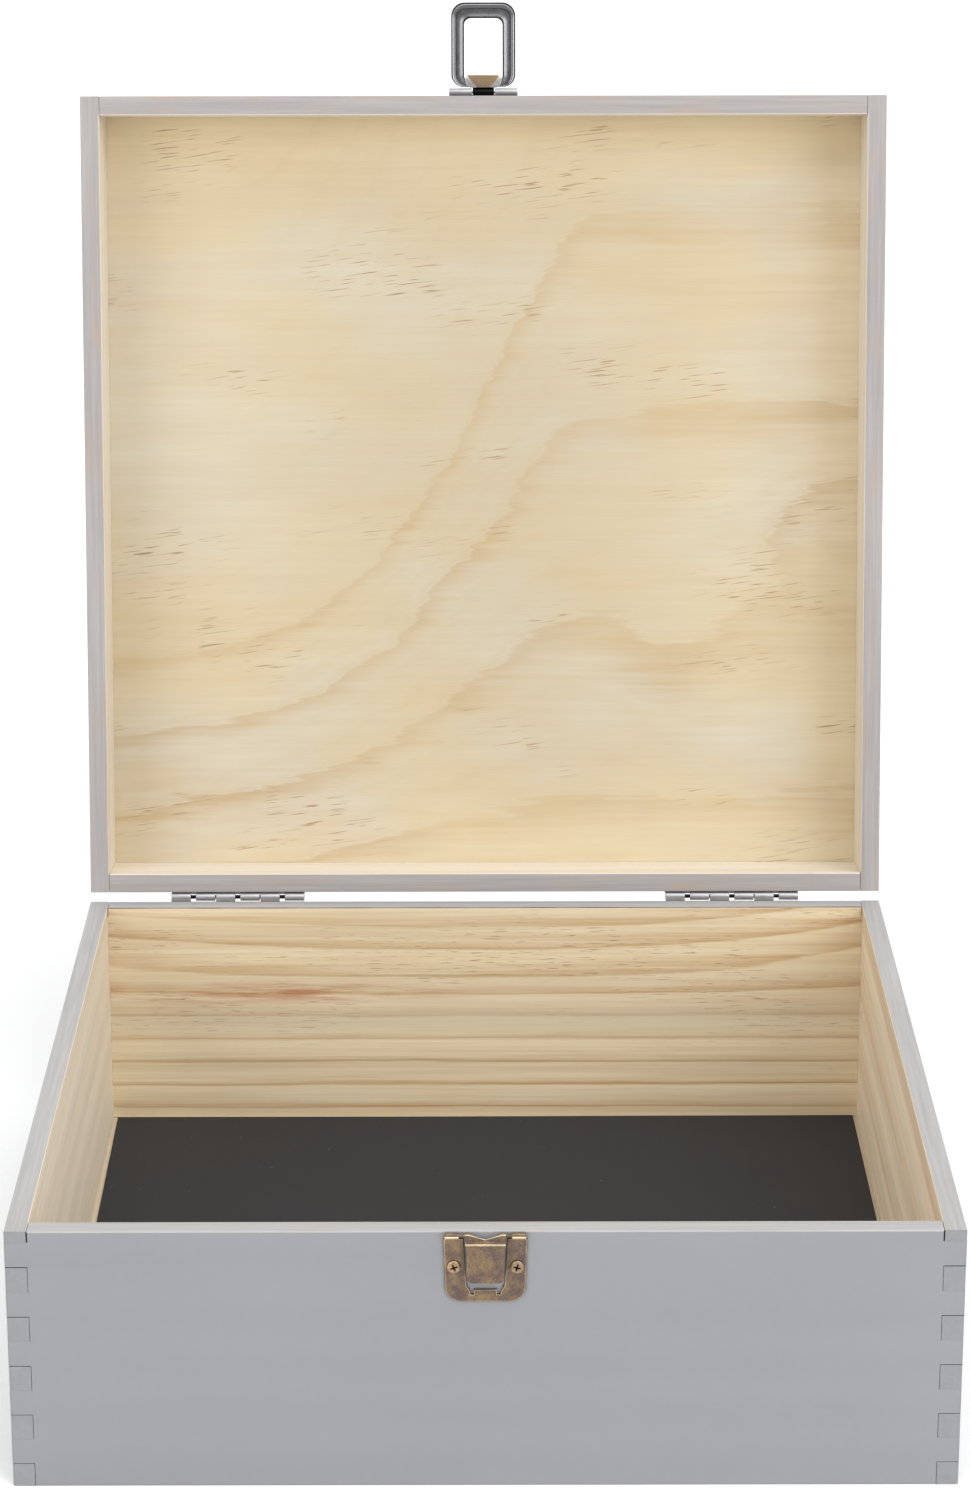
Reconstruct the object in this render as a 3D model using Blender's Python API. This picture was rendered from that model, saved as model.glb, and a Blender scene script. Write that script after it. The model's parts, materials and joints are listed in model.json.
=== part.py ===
"""A square wooden toy box: a finger-jointed body, a hinged lid, two steel hinges and a loop catch.

Metres, +Z up. The origin is the middle of the underside and the front faces -Y. Everything that
rides on the lid is drawn with the lid shut, and the lid's empty then turns it to where its hinges
stop it, open and leaning back.
"""

import math

import bmesh
import bpy
from mathutils import Vector

MM = 0.001

# Overall sizes of the wooden case.
BOX_WIDTH = 300.0 * MM
BOX_DEPTH = 299.4 * MM
BODY_HEIGHT = 88.2 * MM
RAIL_HEIGHT = 28.5 * MM
BOARD = 7.0 * MM
LID_PANEL = 4.3 * MM
BASE_PANEL = 2.2 * MM
FLOOR_BOARD = 0.8 * MM

# Fits.
FIT = 0.3 * MM
METAL_FIT = 0.2 * MM
RIM_GAP = 0.4 * MM

# Finger joints, measured away from the rims. The saw cut that frees the lid halves one finger.
FINGER = 8.5 * MM
BODY_FIRST_FINGER = 3.8 * MM
LID_FIRST_FINGER = 3.0 * MM

# The loose black floor board, a little narrow, laid a little out of square against the right wall.
FLOOR_SLACK = 3.2 * MM
FLOOR_TWIST = math.radians(0.25)

# Hinges.
LID_OPEN = math.radians(100.8)
HINGE_SPACING = 188.0 * MM
HINGE_LENGTH = 50.7 * MM
HINGE_KNUCKLES = 6
KNUCKLE_RADIUS = 1.5 * MM
HINGE_PIN_RADIUS = 0.7 * MM
HINGE_PLATE = 0.9 * MM
HINGE_LEAF = 16.0 * MM
HINGE_CLEAR = 0.4 * MM
HINGE_PIN_ABOVE = 1.2 * MM
HINGE_SCREW_SPACING = 33.0 * MM
KNUCKLE_GAP = 0.3 * MM

# Screws, all alike.
SCREW_HEAD_RADIUS = 2.1 * MM
SCREW_HEAD_HEIGHT = 0.9 * MM
SCREW_CROWN_DROPS = (0.45, 0.1)
SCREW_CROWN_SHARE = 0.7
SCREW_SHANK_RADIUS = 1.0 * MM
SCREW_LENGTH = 6.0 * MM

# The catch's plates, and the rolled knuckles on them. Those on the lid's plate are the larger.
CATCH_PLATE = 0.7 * MM
CATCH_KNUCKLE_RADIUS = 1.05 * MM
LOOP_KNUCKLE_RADIUS = 1.45 * MM
CATCH_PIN_RADIUS = 0.5 * MM

# The body's plate and the tongue on it.
PLATE_WIDTH = 26.2 * MM
PLATE_HEIGHT = 23.8 * MM
PLATE_TAPER = 0.5 * MM
PLATE_CORNER = 5.0 * MM
PLATE_WINDOW_TOP = 13.8 * MM
PLATE_WINDOW_BOTTOM = 11.2 * MM
PLATE_BRIDGE = 4.2 * MM
PLATE_TAB = 7.0 * MM
PLATE_SLOT_DEPTH = 1.6 * MM
PLATE_KNUCKLE_INNER = 8.3 * MM
PLATE_KNUCKLE_OUTER = 12.7 * MM
PLATE_SCREW_SPACING = 19.7 * MM
PLATE_SCREW_DOWN = 11.9 * MM
TONGUE_PIN_DOWN = 1.1 * MM
TONGUE_TOP_WIDTH = 12.8 * MM
TONGUE_WIDTH = 11.7 * MM
TONGUE_SHEET = 0.7 * MM
TONGUE_CLEAR = 0.35 * MM
TONGUE_BEND = 2.7 * MM
TONGUE_TIP = 15.8 * MM
TONGUE_CORNER = 2.0 * MM
TONGUE_HEAD = 1.25 * MM
TONGUE_NOTCH = 2.0 * MM
TONGUE_NOTCH_FOOT = 0.9 * MM
TONGUE_CURL = 1.6 * MM

# The lid's plate, and the loop that swings on it. Latched, the loop's far bar tucks up behind the
# tongue's tip by LOOP_HOLD, and its sheet lies LOOP_STANDOFF out from the front of the box.
LOOP_HOLD = 0.6 * MM
LOOP_STANDOFF = 2.55 * MM
LOOP_PLATE_WIDTH = 25.7 * MM
LOOP_PLATE_HEIGHT = 16.0 * MM
LOOP_PLATE_CORNER = 5.0 * MM
LOOP_SCREW_SPACING = 16.0 * MM
LOOP_SCREW_UP = 10.0 * MM
LOOP_BARREL = 8.0 * MM
LOOP_WIDTH = 24.0 * MM
LOOP_START = 2.0 * MM
LOOP_END = 33.2 * MM
LOOP_SIDE_BAR = 4.8 * MM
LOOP_FAR_BAR = 5.8 * MM
LOOP_NEAR_BAR = 1.9 * MM
LOOP_CORNER = 5.0 * MM
LOOP_WINDOW_CORNER = 2.6 * MM
LOOP_SHEET = 1.1 * MM
LOOP_NECK_DEPTH = 0.15 * MM
LEAF_TIP = 6.2 * MM
LEAF_TIP_WIDTH = 12.3 * MM
LEAF_ROOT_WIDTH = 7.6 * MM
LEAF_SHEET = 0.6 * MM

# Facets of round shapes.
ROUND_SIDES = 20
CORNER_STEPS = 5

# Heights and places that follow from the sizes above.
LID_RIM = BODY_HEIGHT + RIM_GAP
LID_TOP = LID_RIM + RAIL_HEIGHT + FIT + LID_PANEL
BACK = BOX_DEPTH / 2
FRONT = -BOX_DEPTH / 2
HINGE_PIN = Vector((0.0, BACK + KNUCKLE_RADIUS + HINGE_CLEAR, BODY_HEIGHT + HINGE_PIN_ABOVE))
CATCH_PIN_OUT = METAL_FIT + CATCH_KNUCKLE_RADIUS
TONGUE_PIN = Vector((0.0, FRONT - CATCH_PIN_OUT, BODY_HEIGHT - TONGUE_PIN_DOWN))
LOOP_PIN_OUT = METAL_FIT + LOOP_KNUCKLE_RADIUS
LOOP_PIN_UP = LOOP_END - LOOP_FAR_BAR - TONGUE_TIP + LOOP_HOLD
LOOP_PIN = Vector((0.0, FRONT - LOOP_PIN_OUT, BODY_HEIGHT + LOOP_PIN_UP))
LOOP_OFFSET = LOOP_STANDOFF - LOOP_PIN_OUT
TONGUE_INSIDE = LOOP_STANDOFF + LOOP_SHEET + TONGUE_CLEAR - CATCH_PIN_OUT


# --- Scene, materials and objects ---------------------------------------------------------------


def clear_scene():
    for obj in list(bpy.data.objects):
        bpy.data.objects.remove(obj, do_unlink=True)


def make_material(name, colour, roughness, metallic=0.0):
    material = bpy.data.materials.new(name)
    material.use_nodes = True
    shader = material.node_tree.nodes["Principled BSDF"]
    shader.inputs["Base Color"].default_value = (*colour, 1.0)
    shader.inputs["Roughness"].default_value = roughness
    shader.inputs["Metallic"].default_value = metallic
    return material


def make_empty(name, place, parent=None):
    empty = bpy.data.objects.new(name, None)
    bpy.context.scene.collection.objects.link(empty)
    empty.location = place
    empty.parent = parent
    return empty


def make_object(name, bm, material=None, parent=None, origin=(0.0, 0.0, 0.0), smooth=False):
    """One object from a bmesh. ORIGIN is where the parent's own origin is, in the mesh's space."""
    bmesh.ops.recalc_face_normals(bm, faces=bm.faces)
    mesh = bpy.data.meshes.new(name)
    bm.to_mesh(mesh)
    bm.free()
    obj = bpy.data.objects.new(name, mesh)
    bpy.context.scene.collection.objects.link(obj)
    obj.parent = parent
    obj.location = -Vector(origin)
    if smooth:
        mesh.shade_smooth()
        mesh.set_sharp_from_angle(angle=math.radians(40))
    if material:
        mesh.materials.append(material)
    else:
        obj.hide_render = True
        obj.display_type = "WIRE"
    return obj


def combine(obj, other, operation):
    modifier = obj.modifiers.new(other.name, "BOOLEAN")
    modifier.object = other
    modifier.operation = operation
    modifier.solver = "EXACT"


# --- Shapes -------------------------------------------------------------------------------------


def add_prism(bm, outline, axis, low, high):
    """Carries a closed outline from LOW to HIGH along an axis. Its points give the other two."""

    def place(point, along):
        a, b = point
        return {"x": (along, a, b), "y": (a, along, b), "z": (a, b, along)}[axis]

    near = [bm.verts.new(place(point, low)) for point in outline]
    far = [bm.verts.new(place(point, high)) for point in outline]
    bm.faces.new(near)
    bm.faces.new(reversed(far))
    for i in range(len(outline)):
        j = (i + 1) % len(outline)
        bm.faces.new((near[i], far[i], far[j], near[j]))


def prism(outline, axis, low, high):
    bm = bmesh.new()
    add_prism(bm, outline, axis, low, high)
    return bm


def rectangle(a0, a1, b0, b1):
    return [(a0, b0), (a1, b0), (a1, b1), (a0, b1)]


def block(low, high):
    return prism(rectangle(low[0], high[0], low[1], high[1]), "z", low[2], high[2])


def arc(centre, radius, start, stop, steps):
    """Points along an arc, with its angles in degrees."""
    points = []
    for i in range(steps + 1):
        angle = math.radians(start + (stop - start) * i / steps)
        points.append((centre[0] + radius * math.cos(angle), centre[1] + radius * math.sin(angle)))
    return points


def circle(centre, radius, sides=ROUND_SIDES):
    return arc(centre, radius, 0, 360, sides)[:-1]


def rounded_rectangle(half_width, low, high, radius):
    """A rectangle about a = 0, its corners arcs, anticlockwise from the lower right."""
    x = half_width - radius
    corners = ((x, low, -90), (x, high, 0), (-x, high, 90), (-x, low, 180))
    points = []
    for a, b, start in corners:
        inward = radius if b == low else -radius
        points += arc((a, b + inward), radius, start, start + 90, CORNER_STEPS)
    return points


def turned(profile, centre, direction):
    """Turns (along, radius) points about a line through CENTRE that runs along Y."""
    bm = bmesh.new()
    rings = []
    for along, radius in profile:
        y = centre[1] + direction * along
        ring = circle((centre[0], centre[2]), radius) if radius else [(centre[0], centre[2])]
        rings.append([bm.verts.new((a, y, b)) for a, b in ring])
    for one, two in zip(rings, rings[1:]):
        for i in range(ROUND_SIDES):
            j = (i + 1) % ROUND_SIDES
            corners = [one[i % len(one)], one[j % len(one)], two[j % len(two)], two[i % len(two)]]
            bm.faces.new(list(dict.fromkeys(corners)))
    return bm


# --- Finger-jointed boards ----------------------------------------------------------------------


def side_fingers(first, height):
    """Stretches, measured from the rim, where the side boards run through to the corner."""
    edges = [0.0]
    while (edge := first + FINGER * (len(edges) - 1)) < height:
        edges.append(edge)
    edges.append(height)
    return list(zip(edges[0::2], edges[1::2]))


def end_fingers(first, height):
    """The stretches between them, where the front and back boards run through."""
    sides = side_fingers(first, height)
    edges = [edge for stretch in sides for edge in stretch][1:]
    if edges[-1] < height:
        edges.append(height)
    return list(zip(edges[0::2], edges[1::2]))


def notched_edge(long_end, short_end, fingers, height):
    """(along, from the rim) points down one notched end of a board."""
    points = [] if fingers[0][0] == 0 else [(short_end, 0.0)]
    for start, stop in fingers:
        if start > 0:
            start += FIT / 2
            points.append((short_end, start))
        stop -= FIT / 2 if stop < height else 0.0
        points += [(long_end, start), (long_end, stop)]
        if stop < height:
            points.append((short_end, stop))
    if points[-1][1] < height:
        points.append((short_end, height))
    return points


def board(name, half_length, fingers, height, rim, upward, across, axis, paint, parent, origin):
    """A wall or rail: ACROSS is its (outer, inner) faces, AXIS the way through its thickness."""
    edge = notched_edge(half_length, half_length - BOARD - FIT, fingers, height)
    outline = edge + [(-along, down) for along, down in reversed(edge)]
    outline = [(along, rim + upward * down) for along, down in outline]
    return make_object(name, prism(outline, axis, *sorted(across)), paint, parent, origin)


def frame_of_boards(prefix, first, height, rim, upward, paint, parent=None, origin=(0, 0, 0)):
    """The four boards of the body or of the lid."""
    sides = side_fingers(first, height)
    ends = end_fingers(first, height)
    boards = {}
    for name, sign in (("front", -1), ("back", 1)):
        across = (sign * BOX_DEPTH / 2, sign * (BOX_DEPTH / 2 - BOARD))
        boards[name] = board(
            f"{prefix}_{name}", BOX_WIDTH / 2, ends, height, rim, upward, across, "y", paint,
            parent, origin,
        )
    for name, sign in (("left", -1), ("right", 1)):
        across = (sign * BOX_WIDTH / 2, sign * (BOX_WIDTH / 2 - BOARD))
        boards[name] = board(
            f"{prefix}_{name}", BOX_DEPTH / 2, sides, height, rim, upward, across, "x", paint,
            parent, origin,
        )
    return boards


def make_body(paint, birch, black):
    """The body's boards, with the base panel in a rebate and the loose floor board on it."""
    boards = frame_of_boards("body", BODY_FIRST_FINGER, BODY_HEIGHT, BODY_HEIGHT, -1, paint)
    half_x = BOX_WIDTH / 2 - BOARD / 2
    half_y = BOX_DEPTH / 2 - BOARD / 2
    rebate = make_object(
        "rebate_cutter", block((-half_x, -half_y, -BOARD), (half_x, half_y, BASE_PANEL + FIT))
    )
    for wall in boards.values():
        combine(wall, rebate, "DIFFERENCE")
    base_x = half_x - FIT
    base_y = half_y - FIT
    make_object("base_panel", block((-base_x, -base_y, 0.0), (base_x, base_y, BASE_PANEL)), birch)
    floor_x = (BOX_WIDTH - FLOOR_SLACK) / 2 - BOARD
    floor_y = (BOX_DEPTH - FLOOR_SLACK) / 2 - BOARD
    floor = make_object(
        "floor_board", block((-floor_x, -floor_y, 0.0), (floor_x, floor_y, FLOOR_BOARD)), black
    )
    shift = FLOOR_SLACK / 2 - FIT - floor_y * math.sin(FLOOR_TWIST)
    floor.location = (shift, 0.0, BASE_PANEL + FIT)
    floor.rotation_euler.z = FLOOR_TWIST
    return boards


def make_lid(paint, lid):
    """The lid's rails, with its panel glued over them."""
    rails = frame_of_boards("lid", LID_FIRST_FINGER, RAIL_HEIGHT, LID_RIM, 1, paint, lid, HINGE_PIN)
    low = (-BOX_WIDTH / 2, FRONT, LID_RIM + RAIL_HEIGHT + FIT)
    high = (BOX_WIDTH / 2, BACK, LID_TOP)
    make_object("lid_panel", block(low, high), paint, lid, HINGE_PIN)
    return rails


# --- Screws -------------------------------------------------------------------------------------


def fasten(name, place, outward, plate, board_object, metal, parent=None, origin=(0, 0, 0)):
    """A pan-head wood screw through a plate into a board, and its holes in both.

    PLACE is on the board's face, OUTWARD is +1 or -1 along Y, away from the wood.
    """
    plate_object, plate_sheet = plate
    seat = METAL_FIT + plate_sheet + METAL_FIT
    crown = seat + SCREW_HEAD_HEIGHT
    profile = [
        (seat - SCREW_LENGTH, 0.0),
        (seat - SCREW_LENGTH + SCREW_SHANK_RADIUS, SCREW_SHANK_RADIUS),
        (seat, SCREW_SHANK_RADIUS),
        (seat, SCREW_HEAD_RADIUS),
        (crown - SCREW_CROWN_DROPS[0] * SCREW_HEAD_HEIGHT, SCREW_HEAD_RADIUS),
        (crown - SCREW_CROWN_DROPS[1] * SCREW_HEAD_HEIGHT, SCREW_CROWN_SHARE * SCREW_HEAD_RADIUS),
        (crown, 0.0),
    ]
    make_object(name, turned(profile, place, outward), metal, parent, origin, smooth=True)
    hole = SCREW_SHANK_RADIUS + METAL_FIT
    depth = SCREW_LENGTH - seat + METAL_FIT
    bore = [(-depth, 0.0), (-depth, hole), (crown, hole), (crown, 0.0)]
    cutter = make_object(f"{name}_hole", turned(bore, place, outward), parent=parent, origin=origin)
    combine(plate_object, cutter, "DIFFERENCE")
    combine(board_object, cutter, "DIFFERENCE")


# --- Hinges -------------------------------------------------------------------------------------


def hinge_leaf(name, centre, first_knuckle, low, high, neck_end, metal, parent, origin):
    """A plate with every second knuckle rolled from its edge, bored for the pin."""
    y = BACK + METAL_FIT
    pitch = HINGE_LENGTH / HINGE_KNUCKLES
    start = centre - HINGE_LENGTH / 2
    plate = prism(rectangle(y, y + HINGE_PLATE, low, high), "x", start, start + HINGE_LENGTH)
    leaf = make_object(name, plate, metal, parent, origin, smooth=True)
    barrel = circle((HINGE_PIN.y, HINGE_PIN.z), KNUCKLE_RADIUS)
    for i in range(first_knuckle, HINGE_KNUCKLES, 2):
        low_x = start + i * pitch + KNUCKLE_GAP / 2
        high_x = low_x + pitch - KNUCKLE_GAP
        neck = rectangle(y, y + HINGE_PLATE, *sorted((neck_end, HINGE_PIN.z)))
        for part, outline in (("neck", neck), ("knuckle", barrel)):
            shape = prism(outline, "x", low_x, high_x)
            piece = make_object(f"{name}_{part}_{i}", shape, parent=parent, origin=origin)
            combine(leaf, piece, "UNION")
    bore = circle((HINGE_PIN.y, HINGE_PIN.z), HINGE_PIN_RADIUS + METAL_FIT)
    bore = prism(bore, "x", start - BOARD, start + HINGE_LENGTH + BOARD)
    combine(leaf, make_object(f"{name}_bore", bore, parent=parent, origin=origin), "DIFFERENCE")
    return leaf


def make_hinge(side, centre, body_back, lid_back, metal, lid):
    """Two leaves on the outside of the back, their pin, and two screws in each leaf."""
    clear = KNUCKLE_RADIUS + FIT
    lower_edge = HINGE_PIN.z - clear
    upper_edge = HINGE_PIN.z + clear
    lower = hinge_leaf(
        f"hinge_{side}_body_leaf", centre, 0, lower_edge - HINGE_LEAF, lower_edge,
        lower_edge - HINGE_PLATE, metal, None, (0, 0, 0),
    )
    upper = hinge_leaf(
        f"hinge_{side}_lid_leaf", centre, 1, upper_edge, upper_edge + HINGE_LEAF,
        upper_edge + HINGE_PLATE, metal, lid, HINGE_PIN,
    )
    pin = prism(
        circle((HINGE_PIN.y, HINGE_PIN.z), HINGE_PIN_RADIUS), "x",
        centre - HINGE_LENGTH / 2, centre + HINGE_LENGTH / 2,
    )
    make_object(f"hinge_{side}_pin", pin, metal, smooth=True)
    for end, sign in (("outer", -1), ("inner", 1)):
        x = centre + sign * math.copysign(HINGE_SCREW_SPACING / 2, -centre)
        place = Vector((x, BACK, lower_edge - HINGE_LEAF / 2))
        fasten(
            f"hinge_{side}_body_screw_{end}", place, 1, (lower, HINGE_PLATE), body_back, metal
        )
        place = Vector((x, BACK, upper_edge + HINGE_LEAF / 2))
        fasten(
            f"hinge_{side}_lid_screw_{end}", place, 1, (upper, HINGE_PLATE), lid_back, metal,
            lid, HINGE_PIN,
        )


# --- The catch on the body ----------------------------------------------------------------------


def plate_outline():
    """The body's plate as (across, down from the rim): a U with a tabbed bridge at its foot."""
    half = PLATE_WIDTH / 2
    foot = half - PLATE_TAPER
    top = TONGUE_PIN_DOWN + CATCH_KNUCKLE_RADIUS + METAL_FIT
    centre = (foot - PLATE_CORNER, PLATE_HEIGHT - PLATE_CORNER)
    corner = arc(centre, PLATE_CORNER, 0, 90, CORNER_STEPS)
    bridge = PLATE_HEIGHT - PLATE_BRIDGE
    slot_out = PLATE_WINDOW_BOTTOM / 2
    slot_in = PLATE_TAB / 2
    right = [(PLATE_WINDOW_TOP / 2, top), (half, top)] + corner
    inner = [
        (slot_out, bridge),
        (slot_out, bridge + PLATE_SLOT_DEPTH),
        (slot_in, bridge + PLATE_SLOT_DEPTH),
        (slot_in, bridge),
    ]
    left = [(-across, down) for across, down in reversed(right)]
    return right + left + [(-across, down) for across, down in inner] + list(reversed(inner))


def add_rolled_knuckles(plate, pin, radius, edge, across, parent=None, origin=(0, 0, 0)):
    """Two knuckles on a plate's edge, each with the short neck that it is rolled from."""
    inner, outer = across
    face = FRONT - METAL_FIT
    neck = rectangle(face - CATCH_PLATE, face, *sorted((pin.z, edge)))
    barrel = circle((pin.y, pin.z), radius)
    for sign in (-1, 1):
        low, high = sorted((sign * inner, sign * outer))
        for part, outline in (("neck", neck), ("knuckle", barrel)):
            shape = prism(outline, "x", low, high)
            name = f"{plate.name}_{part}_{low > 0}"
            combine(plate, make_object(name, shape, parent=parent, origin=origin), "UNION")
    bore = circle((pin.y, pin.z), CATCH_PIN_RADIUS + METAL_FIT / 2)
    bore = prism(bore, "x", -outer - FIT, outer + FIT)
    cutter = make_object(f"{plate.name}_bore", bore, parent=parent, origin=origin)
    combine(plate, cutter, "DIFFERENCE")


def make_catch_plate(body_front, brass):
    face = FRONT - METAL_FIT
    outline = [(across, BODY_HEIGHT - down) for across, down in plate_outline()]
    blank = prism(outline, "y", face - CATCH_PLATE, face)
    plate = make_object("catch_plate", blank, brass, smooth=True)
    edge = TONGUE_PIN.z - CATCH_KNUCKLE_RADIUS - METAL_FIT - CATCH_PLATE
    across = (PLATE_KNUCKLE_INNER, PLATE_KNUCKLE_OUTER)
    add_rolled_knuckles(plate, TONGUE_PIN, CATCH_KNUCKLE_RADIUS, edge, across)
    pin = circle((TONGUE_PIN.y, TONGUE_PIN.z), CATCH_PIN_RADIUS)
    pin = prism(pin, "x", -PLATE_KNUCKLE_OUTER, PLATE_KNUCKLE_OUTER)
    make_object("catch_pin", pin, brass, smooth=True)
    for side, sign in (("left", -1), ("right", 1)):
        place = Vector((sign * PLATE_SCREW_SPACING / 2, FRONT, BODY_HEIGHT - PLATE_SCREW_DOWN))
        fasten(f"catch_screw_{side}", place, -1, (plate, CATCH_PLATE), body_front, brass)


def make_tongue(brass):
    """The tongue, drawn about its own pin: a bent sheet with a curl at each side of its root."""
    pivot = make_empty("tongue_pivot", TONGUE_PIN)
    out = TONGUE_INSIDE + TONGUE_SHEET
    bend = TONGUE_BEND - TONGUE_PIN_DOWN
    tip = TONGUE_TIP - TONGUE_PIN_DOWN
    root = CATCH_PIN_RADIUS + METAL_FIT
    half = TONGUE_TOP_WIDTH / 2
    sheet = [
        (-root, CATCH_KNUCKLE_RADIUS / 2),
        (-out, TONGUE_SHEET - bend),
        (-out, -tip),
        (-TONGUE_INSIDE, -tip),
        (-TONGUE_INSIDE, -bend),
        (-root, -CATCH_KNUCKLE_RADIUS / 2),
    ]
    tongue = make_object("latch_tongue", prism(sheet, "x", -half, half), brass, pivot, smooth=True)
    for sign in (-1, 1):
        low, high = sorted((sign * half, sign * (half - TONGUE_CURL)))
        curl = prism(circle((0.0, 0.0), CATCH_KNUCKLE_RADIUS), "x", low, high)
        combine(tongue, make_object(f"tongue_curl_{low > 0}", curl, parent=pivot), "UNION")
    bore = prism(circle((0.0, 0.0), CATCH_PIN_RADIUS + METAL_FIT / 2), "x", -BOARD, BOARD)
    combine(tongue, make_object("tongue_bore", bore, parent=pivot), "DIFFERENCE")
    shape = prism(tongue_outline(half, bend, tip), "y", -BOARD, BOARD)
    combine(tongue, make_object("tongue_shape", shape, parent=pivot), "INTERSECT")


def tongue_outline(half, bend, tip):
    """(across, up) of the tongue from the front: notched at its head, narrower below the bend."""
    waist = TONGUE_WIDTH / 2
    corner = arc((waist - TONGUE_CORNER, TONGUE_CORNER - tip), TONGUE_CORNER, 0, -90, CORNER_STEPS)
    shoulder = half - TONGUE_CURL
    right = [
        (0.0, -TONGUE_NOTCH_FOOT),
        (shoulder, TONGUE_HEAD - TONGUE_NOTCH),
        (shoulder, TONGUE_HEAD),
        (half, TONGUE_HEAD),
        (half, -bend),
        (waist, -bend - TONGUE_SHEET),
    ]
    right += corner
    return right + [(-across, up) for across, up in reversed(right[1:])]


# --- The loop on the lid ------------------------------------------------------------------------


def make_loop_plate(lid_front, steel, brass, lid):
    face = FRONT - METAL_FIT
    half = LOOP_PLATE_WIDTH / 2
    edge = LOOP_PIN.z + LOOP_KNUCKLE_RADIUS + METAL_FIT
    top = LOOP_PIN.z + LOOP_PLATE_HEIGHT
    corner = LOOP_PLATE_CORNER
    outline = [(-half, edge), (half, edge)]
    outline += arc((half - corner, top - corner), corner, 0, 90, CORNER_STEPS)
    outline += arc((corner - half, top - corner), corner, 90, 180, CORNER_STEPS)
    blank = prism(outline, "y", face - CATCH_PLATE, face)
    plate = make_object("loop_plate", blank, steel, lid, HINGE_PIN, smooth=True)
    across = (LOOP_BARREL / 2 + FIT, half)
    edge += CATCH_PLATE
    add_rolled_knuckles(plate, LOOP_PIN, LOOP_KNUCKLE_RADIUS, edge, across, lid, HINGE_PIN)
    pin = prism(circle((LOOP_PIN.y, LOOP_PIN.z), CATCH_PIN_RADIUS), "x", -half, half)
    make_object("loop_pin", pin, steel, lid, HINGE_PIN, smooth=True)
    for side, sign in (("left", -1), ("right", 1)):
        place = Vector((sign * LOOP_SCREW_SPACING / 2, FRONT, LOOP_PIN.z + LOOP_SCREW_UP))
        fasten(
            f"loop_screw_{side}", place, -1, (plate, CATCH_PLATE), lid_front, brass, lid, HINGE_PIN
        )


def make_loop(steel, brass, lid):
    """The loop about its own pin, standing straight out from the lid, and the leaf in its root."""
    pivot = make_empty("loop_pivot", LOOP_PIN - HINGE_PIN, lid)
    half = LOOP_WIDTH / 2
    low, high = LOOP_OFFSET, LOOP_OFFSET + LOOP_SHEET
    ring = rounded_rectangle(half, -LOOP_END, -LOOP_START, LOOP_CORNER)
    loop = make_object("latch_loop", prism(ring, "z", low, high), steel, pivot, smooth=True)
    window_far = LOOP_FAR_BAR - LOOP_END
    window_near = -LOOP_START - LOOP_NEAR_BAR
    window = rounded_rectangle(half - LOOP_SIDE_BAR, window_far, window_near, LOOP_WINDOW_CORNER)
    window = make_object("loop_window", prism(window, "z", low - FIT, high + FIT), parent=pivot)
    combine(loop, window, "DIFFERENCE")
    reach = LOOP_BARREL / 2
    foot = -LOOP_START - LOOP_NEAR_BAR / 2
    neck = prism(rectangle(foot, 0.0, low - LOOP_NECK_DEPTH, high), "x", -reach, reach)
    barrel = prism(circle((0.0, 0.0), LOOP_KNUCKLE_RADIUS), "x", -reach, reach)
    bore = prism(circle((0.0, 0.0), CATCH_PIN_RADIUS + METAL_FIT / 2), "x", -BOARD, BOARD)
    combine(loop, make_object("loop_neck", neck, parent=pivot), "UNION")
    combine(loop, make_object("loop_barrel", barrel, parent=pivot), "UNION")
    combine(loop, make_object("loop_bore", bore, parent=pivot), "DIFFERENCE")
    root = -LOOP_KNUCKLE_RADIUS - METAL_FIT
    leaf = [
        (LEAF_ROOT_WIDTH / 2, root),
        (LEAF_TIP_WIDTH / 2, -LEAF_TIP),
        (-LEAF_TIP_WIDTH / 2, -LEAF_TIP),
        (-LEAF_ROOT_WIDTH / 2, root),
    ]
    make_object("loop_leaf", prism(leaf, "z", -LEAF_SHEET / 2, LEAF_SHEET / 2), brass, pivot)


# --- Build --------------------------------------------------------------------------------------


def build():
    clear_scene()
    paint = make_material("grey_paint", (0.38, 0.39, 0.41), 0.55)
    birch = make_material("bare_ply", (0.72, 0.59, 0.38), 0.6)
    black = make_material("black_board", (0.045, 0.045, 0.048), 0.6)
    steel = make_material("nickel_steel", (0.58, 0.58, 0.58), 0.3, 1.0)
    dark_steel = make_material("dark_nickel", (0.22, 0.22, 0.23), 0.25, 1.0)
    brass = make_material("aged_brass", (0.32, 0.22, 0.13), 0.4, 1.0)
    lid = make_empty("lid_pivot", HINGE_PIN)
    lid.rotation_euler.x = -LID_OPEN
    boards = make_body(paint, birch, black)
    rails = make_lid(paint, lid)
    for side, centre in (("left", -HINGE_SPACING / 2), ("right", HINGE_SPACING / 2)):
        make_hinge(side, centre, boards["back"], rails["back"], steel, lid)
    make_catch_plate(boards["front"], brass)
    make_tongue(brass)
    make_loop_plate(rails["front"], steel, brass, lid)
    make_loop(dark_steel, brass, lid)


build()
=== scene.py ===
# %% [markdown]
# # A square wooden toy box
#
# The real object is four pine boards with machined finger joints, a base let into a rebate, a loose
# black floor board, and a lid sawn off the same case. It is painted grey outside and bare inside. Two
# pressed hinges hold the lid, and a loop catch closes it. The CAD model gives every size and joint,
# so this script only adds finer surfaces.

# %% Load the frame
import json
import math

import bmesh
import bpy
import numpy as np
from mathutils import Matrix


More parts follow.
